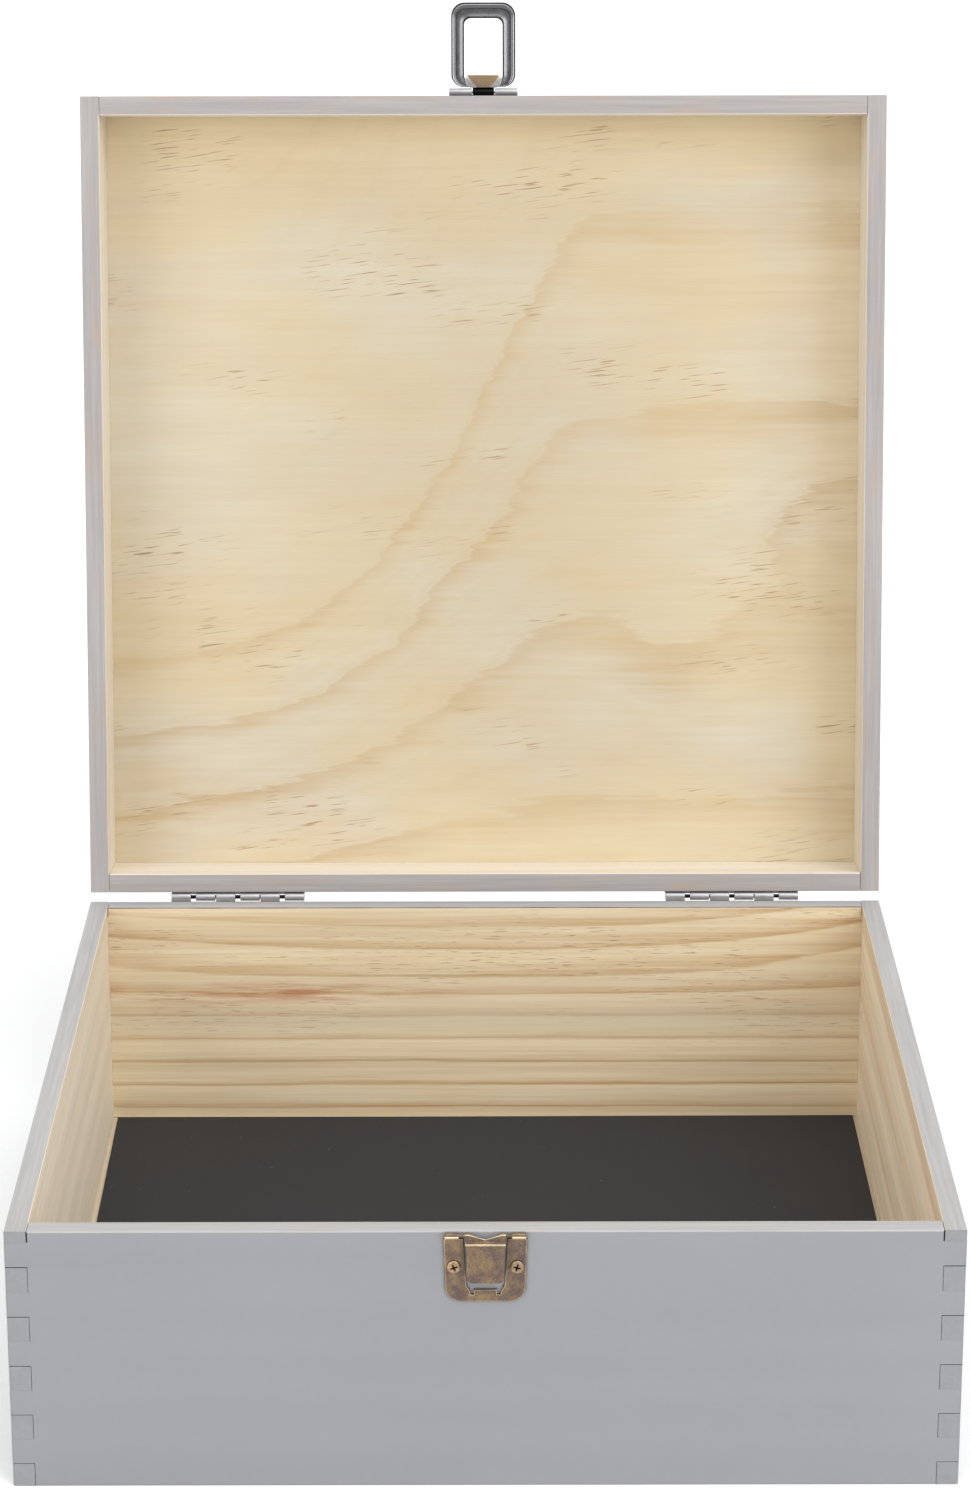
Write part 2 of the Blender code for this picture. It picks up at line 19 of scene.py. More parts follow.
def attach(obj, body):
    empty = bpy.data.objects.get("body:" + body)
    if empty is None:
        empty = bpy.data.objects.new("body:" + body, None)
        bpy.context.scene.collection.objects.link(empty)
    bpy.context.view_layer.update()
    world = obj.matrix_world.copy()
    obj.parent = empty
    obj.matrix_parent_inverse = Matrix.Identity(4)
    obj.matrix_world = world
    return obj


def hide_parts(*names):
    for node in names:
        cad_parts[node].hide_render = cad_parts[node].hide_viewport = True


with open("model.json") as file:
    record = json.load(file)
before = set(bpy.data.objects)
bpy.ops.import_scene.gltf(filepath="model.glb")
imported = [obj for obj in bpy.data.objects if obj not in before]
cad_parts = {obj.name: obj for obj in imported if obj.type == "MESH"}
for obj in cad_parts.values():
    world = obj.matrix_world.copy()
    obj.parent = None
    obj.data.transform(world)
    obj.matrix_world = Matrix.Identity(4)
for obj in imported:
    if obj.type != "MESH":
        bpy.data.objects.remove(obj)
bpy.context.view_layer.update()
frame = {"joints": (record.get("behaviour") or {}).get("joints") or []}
MM = 0.001

# %% [markdown]
# ## The camera
#
# A studio picture of a box is taken with a long lens, a little from above. The camera could be aimed
# with a Track To constraint, but its angles are known, so it is turned by them: first a roll about
# its own view, then the tilt up from straight down, then a turn about the upright.

# %% Place the camera
CAMERA_PLACE = (0.1 * MM, -1317.3 * MM, 622.6 * MM)
PITCH = math.radians(17.906)
YAW = math.radians(0.01)
ROLL = math.radians(-0.1)
LENS = 98.42
SENSOR = 36.0

camera_data = bpy.data.cameras.new("studio_camera")
camera_data.sensor_width = SENSOR
camera_data.lens = LENS
camera = bpy.data.objects.new("studio_camera", camera_data)
bpy.context.scene.collection.objects.link(camera)
camera.matrix_world = (
    Matrix.Translation(CAMERA_PLACE)
    @ Matrix.Rotation(-YAW, 4, "Z")
    @ Matrix.Rotation(math.pi / 2 - PITCH, 4, "X")
    @ Matrix.Rotation(ROLL, 4, "Z")
)
bpy.context.scene.camera = camera
print("camera pitch", round(math.degrees(PITCH), 2), "degrees, lens", LENS, "mm")

# %% [markdown]
# ## Shader sums that read like arithmetic
#
# Every finish below is a sum over the surface: rings, fibres, streaks and specks. Wiring each sum by
# hand in the node editor hides what it says, so a small class wraps one number of a material and
# gives it the ordinary signs. A second class adds the nodes, and a third is a whole material.


# %% One number of a material
class Signal:
    """A number that a material works out at each point of the surface."""

    def __init__(self, wiring, socket):
        self.wiring = wiring
        self.socket = socket

    def calc(self, operation, *others):
        inputs = dict(enumerate((self, *others)))
        return self.wiring.node("ShaderNodeMath", {"operation": operation}, inputs)

    def __add__(self, other):
        return self.calc("ADD", other)

    def __sub__(self, other):
        return self.calc("SUBTRACT", other)

    def __rsub__(self, other):
        return self * -1.0 + other

    def __mul__(self, other):
        return self.calc("MULTIPLY", other)

    def __truediv__(self, other):
        return self.calc("DIVIDE", other)

    def __pow__(self, other):
        return self.calc("POWER", other)

    __radd__ = __add__
    __rmul__ = __mul__

    def rise(self, low, high):
        """0 up to LOW, 1 from HIGH on, and a smooth step between. LOW may be the greater."""
        inputs = {"Value": self, "From Min": low, "From Max": high}
        return self.wiring.node("ShaderNodeMapRange", {"interpolation_type": "SMOOTHSTEP"}, inputs)

    def clipped(self):
        """No less than 0 and no more than 1."""
        return self.calc("MAXIMUM", 0.0).calc("MINIMUM", 1.0)

    def hill(self, centre, width):
        """1 at CENTRE, falling off as exp(-(distance / width)^2)."""
        distance = (self - centre) / width
        return (distance * distance * -1.0).calc("EXPONENT")


# %% Nodes
class Wiring:
    """The nodes of a material or of the sky."""

    def __init__(self, tree, shader):
        self.tree = tree
        self.shader = tree.nodes[shader]

    def feed(self, socket, value):
        if isinstance(value, Signal):
            self.tree.links.new(value.socket, socket)
        else:
            socket.default_value = value

    def node(self, kind, settings, inputs, output=0):
        """Adds a node: its settings, then its sockets, each a constant or a Signal."""
        node = self.tree.nodes.new(kind)
        for key, value in settings.items():
            setattr(node, key, value)
        for key, value in inputs.items():
            self.feed(node.inputs[key], value)
        return Signal(self, node.outputs[output])

    def drive(self, **signals):
        for socket, value in signals.items():
            self.feed(self.shader.inputs[socket.replace("_", " ")], value)

    def place(self, attribute=None):
        """Where a point is: in the object's own metres, or as an attribute of its mesh."""
        if attribute:
            return self.node("ShaderNodeAttribute", {"attribute_name": attribute}, {}, "Vector")
        return self.node("ShaderNodeTexCoord", {}, {}, "Object")

    def parts(self, vector):
        return [self.node("ShaderNodeSeparateXYZ", {}, {0: vector}, axis) for axis in range(3)]

    def join(self, *numbers):
        return self.node("ShaderNodeCombineXYZ", {}, dict(enumerate(numbers)))

    def noise(self, vector, per_metre, detail=2.0, roughness=0.5):
        """Smooth noise from 0 to 1, with PER_METRE lumps in a metre along each axis."""
        stretched = self.node(
            "ShaderNodeVectorMath", {"operation": "MULTIPLY"}, {0: vector, 1: per_metre}
        )
        inputs = {"Vector": stretched, "Scale": 1.0, "Detail": detail, "Roughness": roughness}
        return self.node("ShaderNodeTexNoise", {}, inputs)

    def blend(self, first, second, factor):
        """FIRST where FACTOR is 0 and SECOND where it is 1; both are colours."""
        return self.node(
            "ShaderNodeMix", {"data_type": "RGBA"}, {0: factor, 6: first, 7: second}, 2
        )

    def bump(self, height, distance, strength=1.0):
        inputs = {"Height": height, "Distance": distance, "Strength": strength}
        return self.node("ShaderNodeBump", {}, inputs)


# %% One material
class Finish(Wiring):
    """A material. A value that is the same all over goes in by name, with _ for a space."""

    def __init__(self, name, **constants):
        self.material = bpy.data.materials.new(name)
        self.material.use_nodes = True
        super().__init__(self.material.node_tree, "Principled BSDF")
        self.drive(**constants)


def colour(red, green, blue):
    """A colour given as the 0 to 255 numbers of a paint chart, made linear for the shader."""
    chart = np.array((red, green, blue)) / 255.0
    linear = np.where(chart <= 0.04045, chart / 12.92, ((chart + 0.055) / 1.055) ** 2.4)
    return (*linear.tolist(), 1.0)


print("paint-chart grey 168 is", [round(part, 3) for part in colour(168, 168, 168)])

# %% [markdown]
# ## Rounded solids
#
# Nothing on the real box has a knife edge: sandpaper breaks the edges of the boards, and a press
# rounds the edges of the sheet metal. A Bevel modifier would round every edge alike, so each solid
# is built from rings instead. A ring is the part's outline moved inwards, edge by edge, and the
# rings together trace a quarter round at the near face and another at the far face.


# %% Take points apart and put them together
def split(points):
    """An array of points as one array for each axis."""
    return np.moveaxis(points, -1, 0)


def joined(*axes):
    """One array for each axis, as an array of points."""
    return np.stack(axes, axis=-1)


# %% Move an outline inwards
def inset(outline, depth):
    """Moves edge i of an anticlockwise outline inwards by depth[i].

    Corner i lies where the two moved edges meet: n0 . p = d0 and n1 . p = d1.
    """
    along = np.roll(outline, -1, axis=0) - outline
    along /= np.linalg.norm(along, axis=1, keepdims=True)
    n1 = joined(-along[:, 1], along[:, 0])
    n0 = np.roll(n1, 1, axis=0)
    d1 = np.broadcast_to(depth, len(outline)).astype(float)
    d0 = np.roll(d1, 1)
    cross = n0[:, 0] * n1[:, 1] - n0[:, 1] * n1[:, 0]
    straight = np.abs(cross) < 1e-4
    safe = np.where(straight, 1.0, cross)
    shift = joined(d0 * n1[:, 1] - d1 * n0[:, 1], d1 * n0[:, 0] - d0 * n1[:, 0])
    shift /= safe[:, None]
    return outline + np.where(straight[:, None], n1 * ((d0 + d1) / 2)[:, None], shift)


def anticlockwise(outline):
    """The outline, turned round if its signed area, the sum of x0 y1 - x1 y0, is negative."""
    x0, y0 = outline.T
    x1, y1 = np.roll(outline, -1, axis=0).T
    return outline if (x0 * y1 - x1 * y0).sum() > 0 else outline[::-1]


# %% Rings of a rounded solid
ROUND_STEPS = 4


def quarter(radius):
    """(inset, depth) down a quarter round: r (1 - sin t) and r (1 - cos t), t from 0 to 90."""
    turn = np.linspace(0.0, math.pi / 2, ROUND_STEPS + 1)[:, None]
    return radius * (1.0 - np.sin(turn)), radius * (1.0 - np.cos(turn))


def rings_of(outline, thickness, near, far, middle=()):
    """Rings (a, b, depth) of a solid; NEAR and FAR are each edge's rounding at its two faces."""
    near = np.broadcast_to(near, len(outline)).astype(float)[None, :]
    far = np.broadcast_to(far, len(outline)).astype(float)[None, :]
    inset_near, depth_near = quarter(near)
    inset_far, depth_far = quarter(far)
    insets = np.concatenate((inset_near, np.zeros((len(middle), len(outline))), inset_far[::-1]))
    between = np.array(middle, float).reshape(-1, 1) * np.ones((1, len(outline)))
    depths = np.concatenate((depth_near, between, thickness - depth_far[::-1]))
    depths = (depths + np.roll(depths, 1, axis=1)) / 2
    flat = np.stack([inset(outline, row) for row in insets])
    return np.concatenate((flat, depths[:, :, None]), axis=2)


# %% Turn rings into a shell
def strip_faces(rows, columns, strips, steps):
    """STRIPS by STEPS four-sided faces of a grid of points, which may close on itself both ways."""
    row, column = np.meshgrid(np.arange(strips), np.arange(steps), indexing="ij")
    below = (row + 1) % rows
    beside = (column + 1) % columns
    corners = (
        row * columns + column,
        row * columns + beside,
        below * columns + beside,
        below * columns + column,
    )
    return np.stack(corners, axis=-1).reshape(-1, 4)


def shell(rings, strip_finish=0, near_finish=0, far_finish=0, grain=None, kind="capped"):
    """Rings joined by strips: CAPPED at both ends, ROLLED up end to end, or a FLAT open sheet."""
    rows, columns = rings.shape[:2]
    strips = rows if kind == "rolled" else rows - 1
    steps = columns - 1 if kind == "flat" else columns
    faces = strip_faces(rows, columns, strips, steps).tolist()
    smooth = [True] * len(faces)
    finishes = np.broadcast_to(strip_finish, (strips, steps)).reshape(-1).tolist()
    if kind == "capped":
        first = np.arange(columns)
        faces += [first.tolist(), (first + (rows - 1) * columns).tolist()]
        smooth += [False, False]
        finishes += [near_finish, far_finish]
    points = rings.reshape(-1, 3)
    grain = points if grain is None else grain.reshape(-1, 3)
    return {"points": points, "faces": faces, "smooth": smooth, "finish": finishes, "grain": grain}


# %% [markdown]
# ## Pieces
#
# Everything on the lid is easier to draw with the lid shut, square to the axes. What rides on the lid
# or on its loop is therefore turned open in one place, where shells become a piece.

# %% Open the lid to where its hinges stop
joints = {joint["name"]: joint for joint in frame["joints"]}
LID_PIN = np.array(joints["lid_hinge"]["pos_m"])
LID_TURN = math.radians(max(joints["lid_hinge"]["range_deg"]))


def opened(points):
    """Points of the shut lid, turned about the hinge pin: y' = y cos + z sin, z' = z cos - y sin."""
    x, y, z = split(points - LID_PIN)
    cos, sin = math.cos(LID_TURN), math.sin(LID_TURN)
    return joined(x, y * cos + z * sin, z * cos - y * sin) + LID_PIN


print("lid stands open at", round(math.degrees(LID_TURN), 1), "degrees")

# %% Turn shells into a piece
def make_piece(name, shells, body, nodes, finishes):
    """One object from shells drawn with the lid shut, riding on BODY in place of its CAD nodes."""
    starts = np.cumsum([0] + [len(part["points"]) for part in shells])
    points = np.concatenate([part["points"] for part in shells])
    points = opened(points) if body in ("lid", "loop") else points
    faces = []
    for start, part in zip(starts, shells):
        faces += [[int(start) + corner for corner in face] for face in part["faces"]]
    mesh = bpy.data.meshes.new(name)
    mesh.from_pydata(points.tolist(), [], faces)
    for finish in finishes:
        mesh.materials.append(finish.material)
    mesh.polygons.foreach_set("use_smooth", sum((part["smooth"] for part in shells), []))
    mesh.polygons.foreach_set("material_index", sum((part["finish"] for part in shells), []))
    grain = mesh.attributes.new("grain", "FLOAT_VECTOR", "POINT")
    grain.data.foreach_set("vector", np.concatenate([part["grain"] for part in shells]).ravel())
    shape = bmesh.new()
    shape.from_mesh(mesh)
    bmesh.ops.recalc_face_normals(shape, faces=shape.faces)
    shape.to_mesh(mesh)
    shape.free()
    mesh.set_sharp_from_angle(angle=math.radians(38))
    piece = bpy.data.objects.new(name, mesh)
    bpy.context.scene.collection.objects.link(piece)
    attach(piece, body)
    if nodes:
        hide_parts(*nodes)
    print(f"{name}: {len(mesh.polygons)} faces, rides on {body}")
    return piece


# %% [markdown]
# ## Sizes
#
# These repeat the CAD model's sizes, since a finer surface has to lie on the same planes.

# %% Sizes of the case
HALF_WIDTH = 150.0 * MM
HALF_DEPTH = 149.7 * MM
BODY_HEIGHT = 88.2 * MM
RIM_GAP = 0.4 * MM
RAIL_HEIGHT = 28.5 * MM
BOARD = 7.0 * MM
LID_PANEL = 4.3 * MM
BASE_PANEL = 2.2 * MM
FLOOR_BOARD = 0.8 * MM
FINGER = 8.5 * MM
BODY_FIRST_FINGER = 3.8 * MM
LID_FIRST_FINGER = 3.0 * MM
SEAM = 0.04 * MM
REBATE = 2.5 * MM
LID_RIM = BODY_HEIGHT + RIM_GAP
PANEL_INSIDE = LID_RIM + RAIL_HEIGHT + 0.3 * MM

# %% [markdown]
# ## Paint
#
# The outside carries a thin satin grey paint over sanded pine. On the broad faces it is smooth, with
# faint clouds where the sponge or roller laid it thicker. On the sawn rims it sinks into the fibres
# and dries lighter and streaky, and on the end grain of the fingers it dries darker. The cracks of the
# joints are painted nearly black, as painted shade, and thinned paint has crept over the back board's
# inner edge. Noise stretched along the grain gives all of this, with no image to unwrap.


# %% Grey paint
def grey_paint(name, tone, streaks, warmth):
    """Satin paint. STREAKS is how far the grain shows through, and WARMTH how far wood tints it."""
    finish = Finish(name, Specular_IOR_Level=0.35)
    place = finish.place("grain")
    clouds = finish.noise(place, (11.0, 11.0, 11.0), 4.0, 0.55)
    fine = finish.noise(place, (420.0, 420.0, 420.0), 3.0, 0.6)
    fibre = finish.noise(place, (22.0, 900.0, 900.0), 4.0, 0.62)
    wide_fibre = finish.noise(place, (9.0, 260.0, 260.0), 3.0, 0.5)
    light = colour(*(min(part * 1.05, 255) for part in tone))
    dark = colour(*(part * 0.945 for part in tone))
    shade = 0.5 + (clouds - 0.5) * 0.55 + (fine - 0.5) * 0.22
    shade = shade + (fibre - 0.5) * streaks * 2.4 + (wide_fibre - 0.5) * streaks * 1.6
    base = finish.blend(dark, light, shade.clipped())
    tint = (finish.noise(place, (30.0, 330.0, 330.0), 3.0, 0.6) - 0.52).calc("MAXIMUM", 0.0)
    base = finish.blend(base, colour(176, 150, 128), tint * warmth)
    finish.drive(
        Base_Color=base,
        Roughness=0.46 + (fine - 0.5) * 0.16 + streaks * 0.1,
        Normal=finish.bump(fibre * streaks + fine * 0.3, 0.05 * MM, 0.6),
    )
    return finish


paint_face = grey_paint("grey_paint_face", (140, 141, 144), 0.02, 0.1)
paint_rim = grey_paint("grey_paint_rim", (171, 170, 170), 0.95, 1.1)
paint_lid_rim = grey_paint("grey_paint_lid_rim", (160, 156, 155), 0.95, 3.2)
paint_end = grey_paint("grey_paint_end_grain", (137, 138, 141), 0.4, 0.15)
print("paints:", [finish.material.name for finish in (paint_face, paint_rim, paint_end)])

# %% Painted seam shade and paint bleed
# A near-black finish for the cracks of the joints: painted shade where the seams lie in shade.
painted_seam_shade = Finish("dark_glue_line", Roughness=0.8, Specular_IOR_Level=0.1)
seam_shade_grit = painted_seam_shade.noise(painted_seam_shade.place(), (900.0, 900.0, 900.0))
painted_seam_shade.drive(Base_Color=painted_seam_shade.blend(colour(34, 31, 33), colour(70, 65, 66), seam_shade_grit))
paint_bleed = Finish("paint_bleed_edge", Roughness=0.6, Specular_IOR_Level=0.2)
bleed_run = paint_bleed.noise(paint_bleed.place(), (60.0, 60.0, 400.0), 3.0, 0.6)
paint_bleed.drive(
    Base_Color=paint_bleed.blend(colour(92, 78, 90), colour(150, 138, 140), bleed_run.rise(0.3, 0.8))
)

# %% [markdown]
# ## Bare pine
#
# The inside is planed pine, never finished. Its rings run along the board. Each year's growth darkens
# slowly to an orange-brown line of late wood and then breaks back to pale early wood, which is a
# sawtooth across the board rather than a sine. Where the saw crosses the rings at a slant they rise
# into low arches, so the sawtooth is read at a height that bends with the place along the board.


# %% How one board differs from another
def hardly_bent(finish, along, down):
    """Rings that hardly bend."""
    return finish.noise(finish.join(along, 0.0, 0.0), (4.0, 1.0, 1.0), 1.0) * (2.0 * MM)


def arched(finish, along, down):
    """Low arches near the rim: they drop at both ends, most at the right, and die out by 45 mm."""
    right = along.calc("MAXIMUM", 0.0) / (140.0 * MM)
    left = along.calc("MINIMUM", 0.0) / (140.0 * MM)
    arch = 1.2 - right ** 2.4 * 10.5 - left * left * 5.0
    low_ring = down.hill(28.0 * MM, 5.0 * MM) * (2.4 * MM)
    return arch * down.rise(46.0 * MM, 12.0 * MM) * MM + low_ring


def unstained(finish, base, place, along, down):
    return base


def heart_stain(finish, base, place, along, down):
    """A reddish resin streak in the left part of the third ring, over a greyer, cooler zone."""
    patch = finish.noise(place, (30.0, 500.0, 90.0), 4.0, 0.65).rise(0.36, 0.66)
    left = along.rise(10.0 * MM, -60.0 * MM)
    red = down.hill(34.5 * MM, 3.6 * MM) * patch * (0.1 + left * 0.6)
    grey = down.hill(43.0 * MM, 8.0 * MM) * 0.34
    base = finish.blend(base, colour(208, 198, 176), grey)
    return finish.blend(base, colour(176, 104, 62), red)


def few_flecks(finish, along, down):
    return down.rise(200.0 * MM, 0.0) * 0.15


def rim_flecks(finish, along, down):
    return down.rise(62.0 * MM, 34.0 * MM) * 0.55 + 0.1


# %% Pine with its rings along the board
def bare_pine(
    name, pale, line, pitch, phase, strength, bend=hardly_bent, flecks=few_flecks, stain=unstained
):
    """A ring line falls wherever (height - phase) / pitch, in mm, is whole; BEND moves the height."""
    finish = Finish(name, Specular_IOR_Level=0.25)
    place = finish.place("grain")
    along, down, into = finish.parts(place)
    waver = finish.noise(place, (5.0, 30.0, 30.0), 3.0, 0.5) - 0.5
    ripple = finish.noise(place, (24.0, 110.0, 60.0), 3.0, 0.6) - 0.5
    fibre = finish.noise(place, (14.0, 1000.0, 1000.0), 4.0, 0.6)
    streak = finish.noise(place, (8.0, 380.0, 380.0), 4.0, 0.65)
    frayed = waver * (1.6 * MM) + ripple * (1.5 * MM) + (streak - 0.5) * (1.6 * MM)
    height = down + frayed - bend(finish, along, down)
    ring = ((height - phase * MM) / (pitch * MM)).calc("FRACT")
    vary = finish.noise(finish.join(along * 1.5, height * 40.0, into * 20.0), (1.0, 1.0, 1.0), 2.0)
    low = down.rise(38.0 * MM, 52.0 * MM)
    sharp = 2.1 + low * 5.5
    late = ring ** sharp * ring.rise(1.0, 0.9) * (vary * 1.7 - 0.1) * (0.5 + fibre * 0.9)
    late = late.calc("MAXIMUM", 0.0) * (0.7 + low * 0.75)
    band = finish.noise(place, (3.0, 120.0, 60.0), 3.0, 0.55)
    fleck = finish.noise(place, (110.0, 2000.0, 700.0), 2.0, 0.5).rise(0.60, 0.69)
    fleck = fleck * finish.noise(place, (12.0, 60.0, 60.0), 2.0, 0.5).rise(0.42, 0.6)
    tone = 0.1 + late * strength + (fibre - 0.5) * 0.5 + (streak - 0.5) * 0.6 + (band - 0.5) * 0.3
    base = finish.blend(colour(*pale), colour(*line), tone.clipped())
    base = stain(finish, base, place, along, down)
    base = finish.blend(base, colour(138, 96, 62), fleck * flecks(finish, along, down))
    finish.drive(
        Base_Color=base,
        Roughness=0.62 - late * 0.12,
        Normal=finish.bump(fibre * 0.6 + late * 0.5, 0.06 * MM, 0.7),
    )
    return finish


# %% The five pines
PINES = {
    "back": ((232, 216, 184), (174, 124, 50), 9.35, 82.0, 0.95, arched, rim_flecks, heart_stain),
    "left": ((240, 230, 212), (206, 176, 136), 31.0, 6.0, 0.12),
    "right": ((246, 232, 206), (186, 130, 72), 27.0, 9.0, 0.6),
    "front": ((234, 218, 190), (192, 142, 88), 10.5, 4.0, 0.55),
    "rail": ((226, 219, 205), (200, 168, 128), 14.0, 9.0, 0.3),
}
pine = {board: bare_pine(f"bare_pine_{board}", *values) for board, values in PINES.items()}
print("pine ring pitches in mm:", {board: values[2] for board, values in PINES.items()})

# %% [markdown]
# ## Finger-jointed boards
#
# A dado stack cuts the fingers, and the boards are glued with the fingers through each other, so each
# corner shows end grain and face by turns. Each board is one outline with square steps down both
# ends, given its thickness by rings, so the seams keep their own tight edges while the rims and the
# outer corners are sanded rounder. The case was glued up whole and the lid sawn off it, so the lid's
# rails are the same four boards, measured upwards from the saw cut.


# %% Where the fingers are
def finger_cuts(first, height):
    """Distances from the rim where one finger ends and the next begins."""
    count = int((height - first) / FINGER) + 1
    return [0.0] + [first + FINGER * i for i in range(count)] + [height]


ROUNDING_IN_MM = {
    "rim": (0.5, 0.28),
    "end": (0.5, 0.05),
    "seam": (0.09, 0.04),
    "crack": (0.22, 0.2),
    "tight": (0.02, 0.04),
    "foot": (0.5, 0.1),
}


def seam_gap(down, open_side):
    """Open glue lines are widest at the rim and close towards the foot; the others are tight."""
    return (0.20 - 0.0016 * down / MM if open_side else 0.03) * MM


def board_outline(half_length, cuts, through_first, rebated):
    """(along, down) points of a board, the kind of each edge, and which points a rebate lifts."""
    short = half_length - BOARD - SEAM
    height = cuts[-1]
    points = []
    kinds = []
    for i, (start, stop) in enumerate(zip(cuts, cuts[1:])):
        through = (i % 2 == 0) == through_first
        side = 0.5 if through else -0.5
        open_stop = i % 2 == 1
        along = half_length if through else short - (0 if i else 0.16 * MM)
        points.append((along, start + side * seam_gap(start, not open_stop) if start else 0.0))
        points.append((along, stop - side * seam_gap(stop, open_stop) if stop < height else height))
        inner = "seam" if i else "crack"
        kinds += ["end" if through else inner, "seam" if open_stop else "tight"]
    kinds[-1] = "foot"
    lifted = [False] * len(points)
    edge = half_length - BOARD / 2
    if rebated and points[-1][0] > edge:
        points += [(edge + 0.05 * MM, height), (edge, height)]
        kinds += ["foot", "foot"]
        lifted += [False, True]
    elif rebated:
        lifted[-1] = True
    mirrored = [(-along, down) for along, down in reversed(points)]
    outline = np.array(points + mirrored)
    return outline, kinds + list(reversed(kinds[:-1])) + ["rim"], lifted + lifted[::-1]


FACE, RIM, END, INSIDE, SEAM_SHADE, INNER_RIM = range(6)
# Seams and cracks take the near-black finish: painted shade in the joints.
STRIP_FINISH = {"foot": FACE, "rim": RIM, "end": END, "seam": SEAM_SHADE, "crack": SEAM_SHADE, "tight": END}


# %% Build one board
def wall_points(side, rim, way, rings):
    """(along, down, depth) as x, y and z: the depth runs in from the wall, and down is WAY times z."""
    along, down, depth = split(rings)
    sign = 1.0 if side in ("back", "right") else -1.0
    height = rim + way * down
    if side in ("front", "back"):
        return joined(along, sign * (HALF_DEPTH - depth), height)
    return joined(sign * (HALF_WIDTH - depth), along, height)


def board_shell(side, cuts, rim, way, shift):
    """A board's shell. WAY is -1 for the body's boards, below RIM, and 1 for the lid's, above it."""
    crosswise = side in ("front", "back")
    half_length = HALF_WIDTH if crosswise else HALF_DEPTH
    rebated = way < 0
    outline, kinds, lifted = board_outline(half_length, cuts, not crosswise, rebated)
    near, far = np.array([ROUNDING_IN_MM[kind] for kind in kinds]).T * MM
    middle = (BOARD / 2, BOARD / 2 + 0.01 * MM) if rebated else (BOARD / 2,)
    rings = rings_of(outline, BOARD, near, far, middle)
    if rebated:
        raised = rings[ROUND_STEPS + 2:]
        raised[:, np.array(lifted), 1] -= REBATE
    strip = np.array([STRIP_FINISH[kind] for kind in kinds])
    finishes = np.tile(strip, (len(rings) - 1, 1))
    # The far rounding of an end takes the near-black finish too: painted shade in the inner corner.
    inner_end = np.where(strip == END, SEAM_SHADE, INSIDE)
    finishes[-ROUND_STEPS:] = np.where(strip == RIM, INNER_RIM, inner_end)
    grain = rings + np.array((shift, 0.0, shift))
    return shell(wall_points(side, rim, way, rings), finishes, FACE, INSIDE, grain)


# %% The walls of the body and the rails of the lid
GRAIN_SHIFT = {"front": 1.31, "back": 0.0, "left": 3.77, "right": 5.13}
LID_GRAIN_SHIFT = 7.7
body_cuts = finger_cuts(BODY_FIRST_FINGER, BODY_HEIGHT)
lid_cuts = finger_cuts(LID_FIRST_FINGER, RAIL_HEIGHT + 0.2 * MM)
for side, shift in GRAIN_SHIFT.items():
    wall = board_shell(side, body_cuts, BODY_HEIGHT, -1.0, shift)
    inner_rim = paint_bleed if side == "back" else pine[side]
    make_piece(
        f"body_{side}_board", [wall], "box", [f"body_{side}"],
        [paint_face, paint_rim, paint_end, pine[side], painted_seam_shade, inner_rim],
    )
for side, shift in GRAIN_SHIFT.items():
    rail = board_shell(side, lid_cuts, LID_RIM, 1.0, shift + LID_GRAIN_SHIFT)
    make_piece(
        f"lid_{side}_rail", [rail], "lid", [f"lid_{side}"],
        [paint_face, paint_lid_rim, paint_end, pine["rail"], painted_seam_shade, pine["rail"]],
    )

# %% [markdown]
# Each corner's crack is painted dark by a thin near-black film standing in it: painted shade in the
# crack. It is a film of its own, because a dark edge on a board would show on its face too.


# %% Painted-shade films in the corner joints
def seam_shade_films(low_z, high_z):
    """Four thin near-black upright films, each between a side board and the end of its neighbour:
    painted shade in the crack.
    """
    start, stop = 0.2 * MM, BOARD - 0.1 * MM
    films = []
    for sign_x in (-1.0, 1.0):
        for sign_y in (-1.0, 1.0):
            outline = np.array(((start, low_z), (stop, low_z), (stop, high_z), (start, high_z)))
            rings = rings_of(outline, 0.02 * MM, 0.004 * MM, 0.004 * MM)
            inward, up, depth = split(rings)
            x = sign_x * (HALF_WIDTH - BOARD - 0.01 * MM - depth)
            films.append(joined(x, sign_y * (HALF_DEPTH - inward), up))
    return films


FILM_EDGE = 0.04 * MM
body_films = seam_shade_films(2.8 * MM, BODY_HEIGHT - FILM_EDGE)
lid_films = seam_shade_films(LID_RIM + FILM_EDGE, LID_RIM + RAIL_HEIGHT - 0.3 * MM)
for body, name, films in (("box", "body", body_films), ("lid", "lid", lid_films)):
    make_piece(
        f"{name}_seam_shade_films", [shell(film) for film in films], body, [], [painted_seam_shade]
    )

# %% [markdown]
# ## The lid's panel
#
# The panel is ply with a peeled face. A peeler cuts round the log, so the rings spread into broad
# soft contours, like a map of a slope. The map is drawn directly: a height that rises across the
# sheet, held back towards the right, with a hill and a bump in it, and a soft brown band wherever
# the height passes a ring. Short dark ticks are the ends of cut vessels.


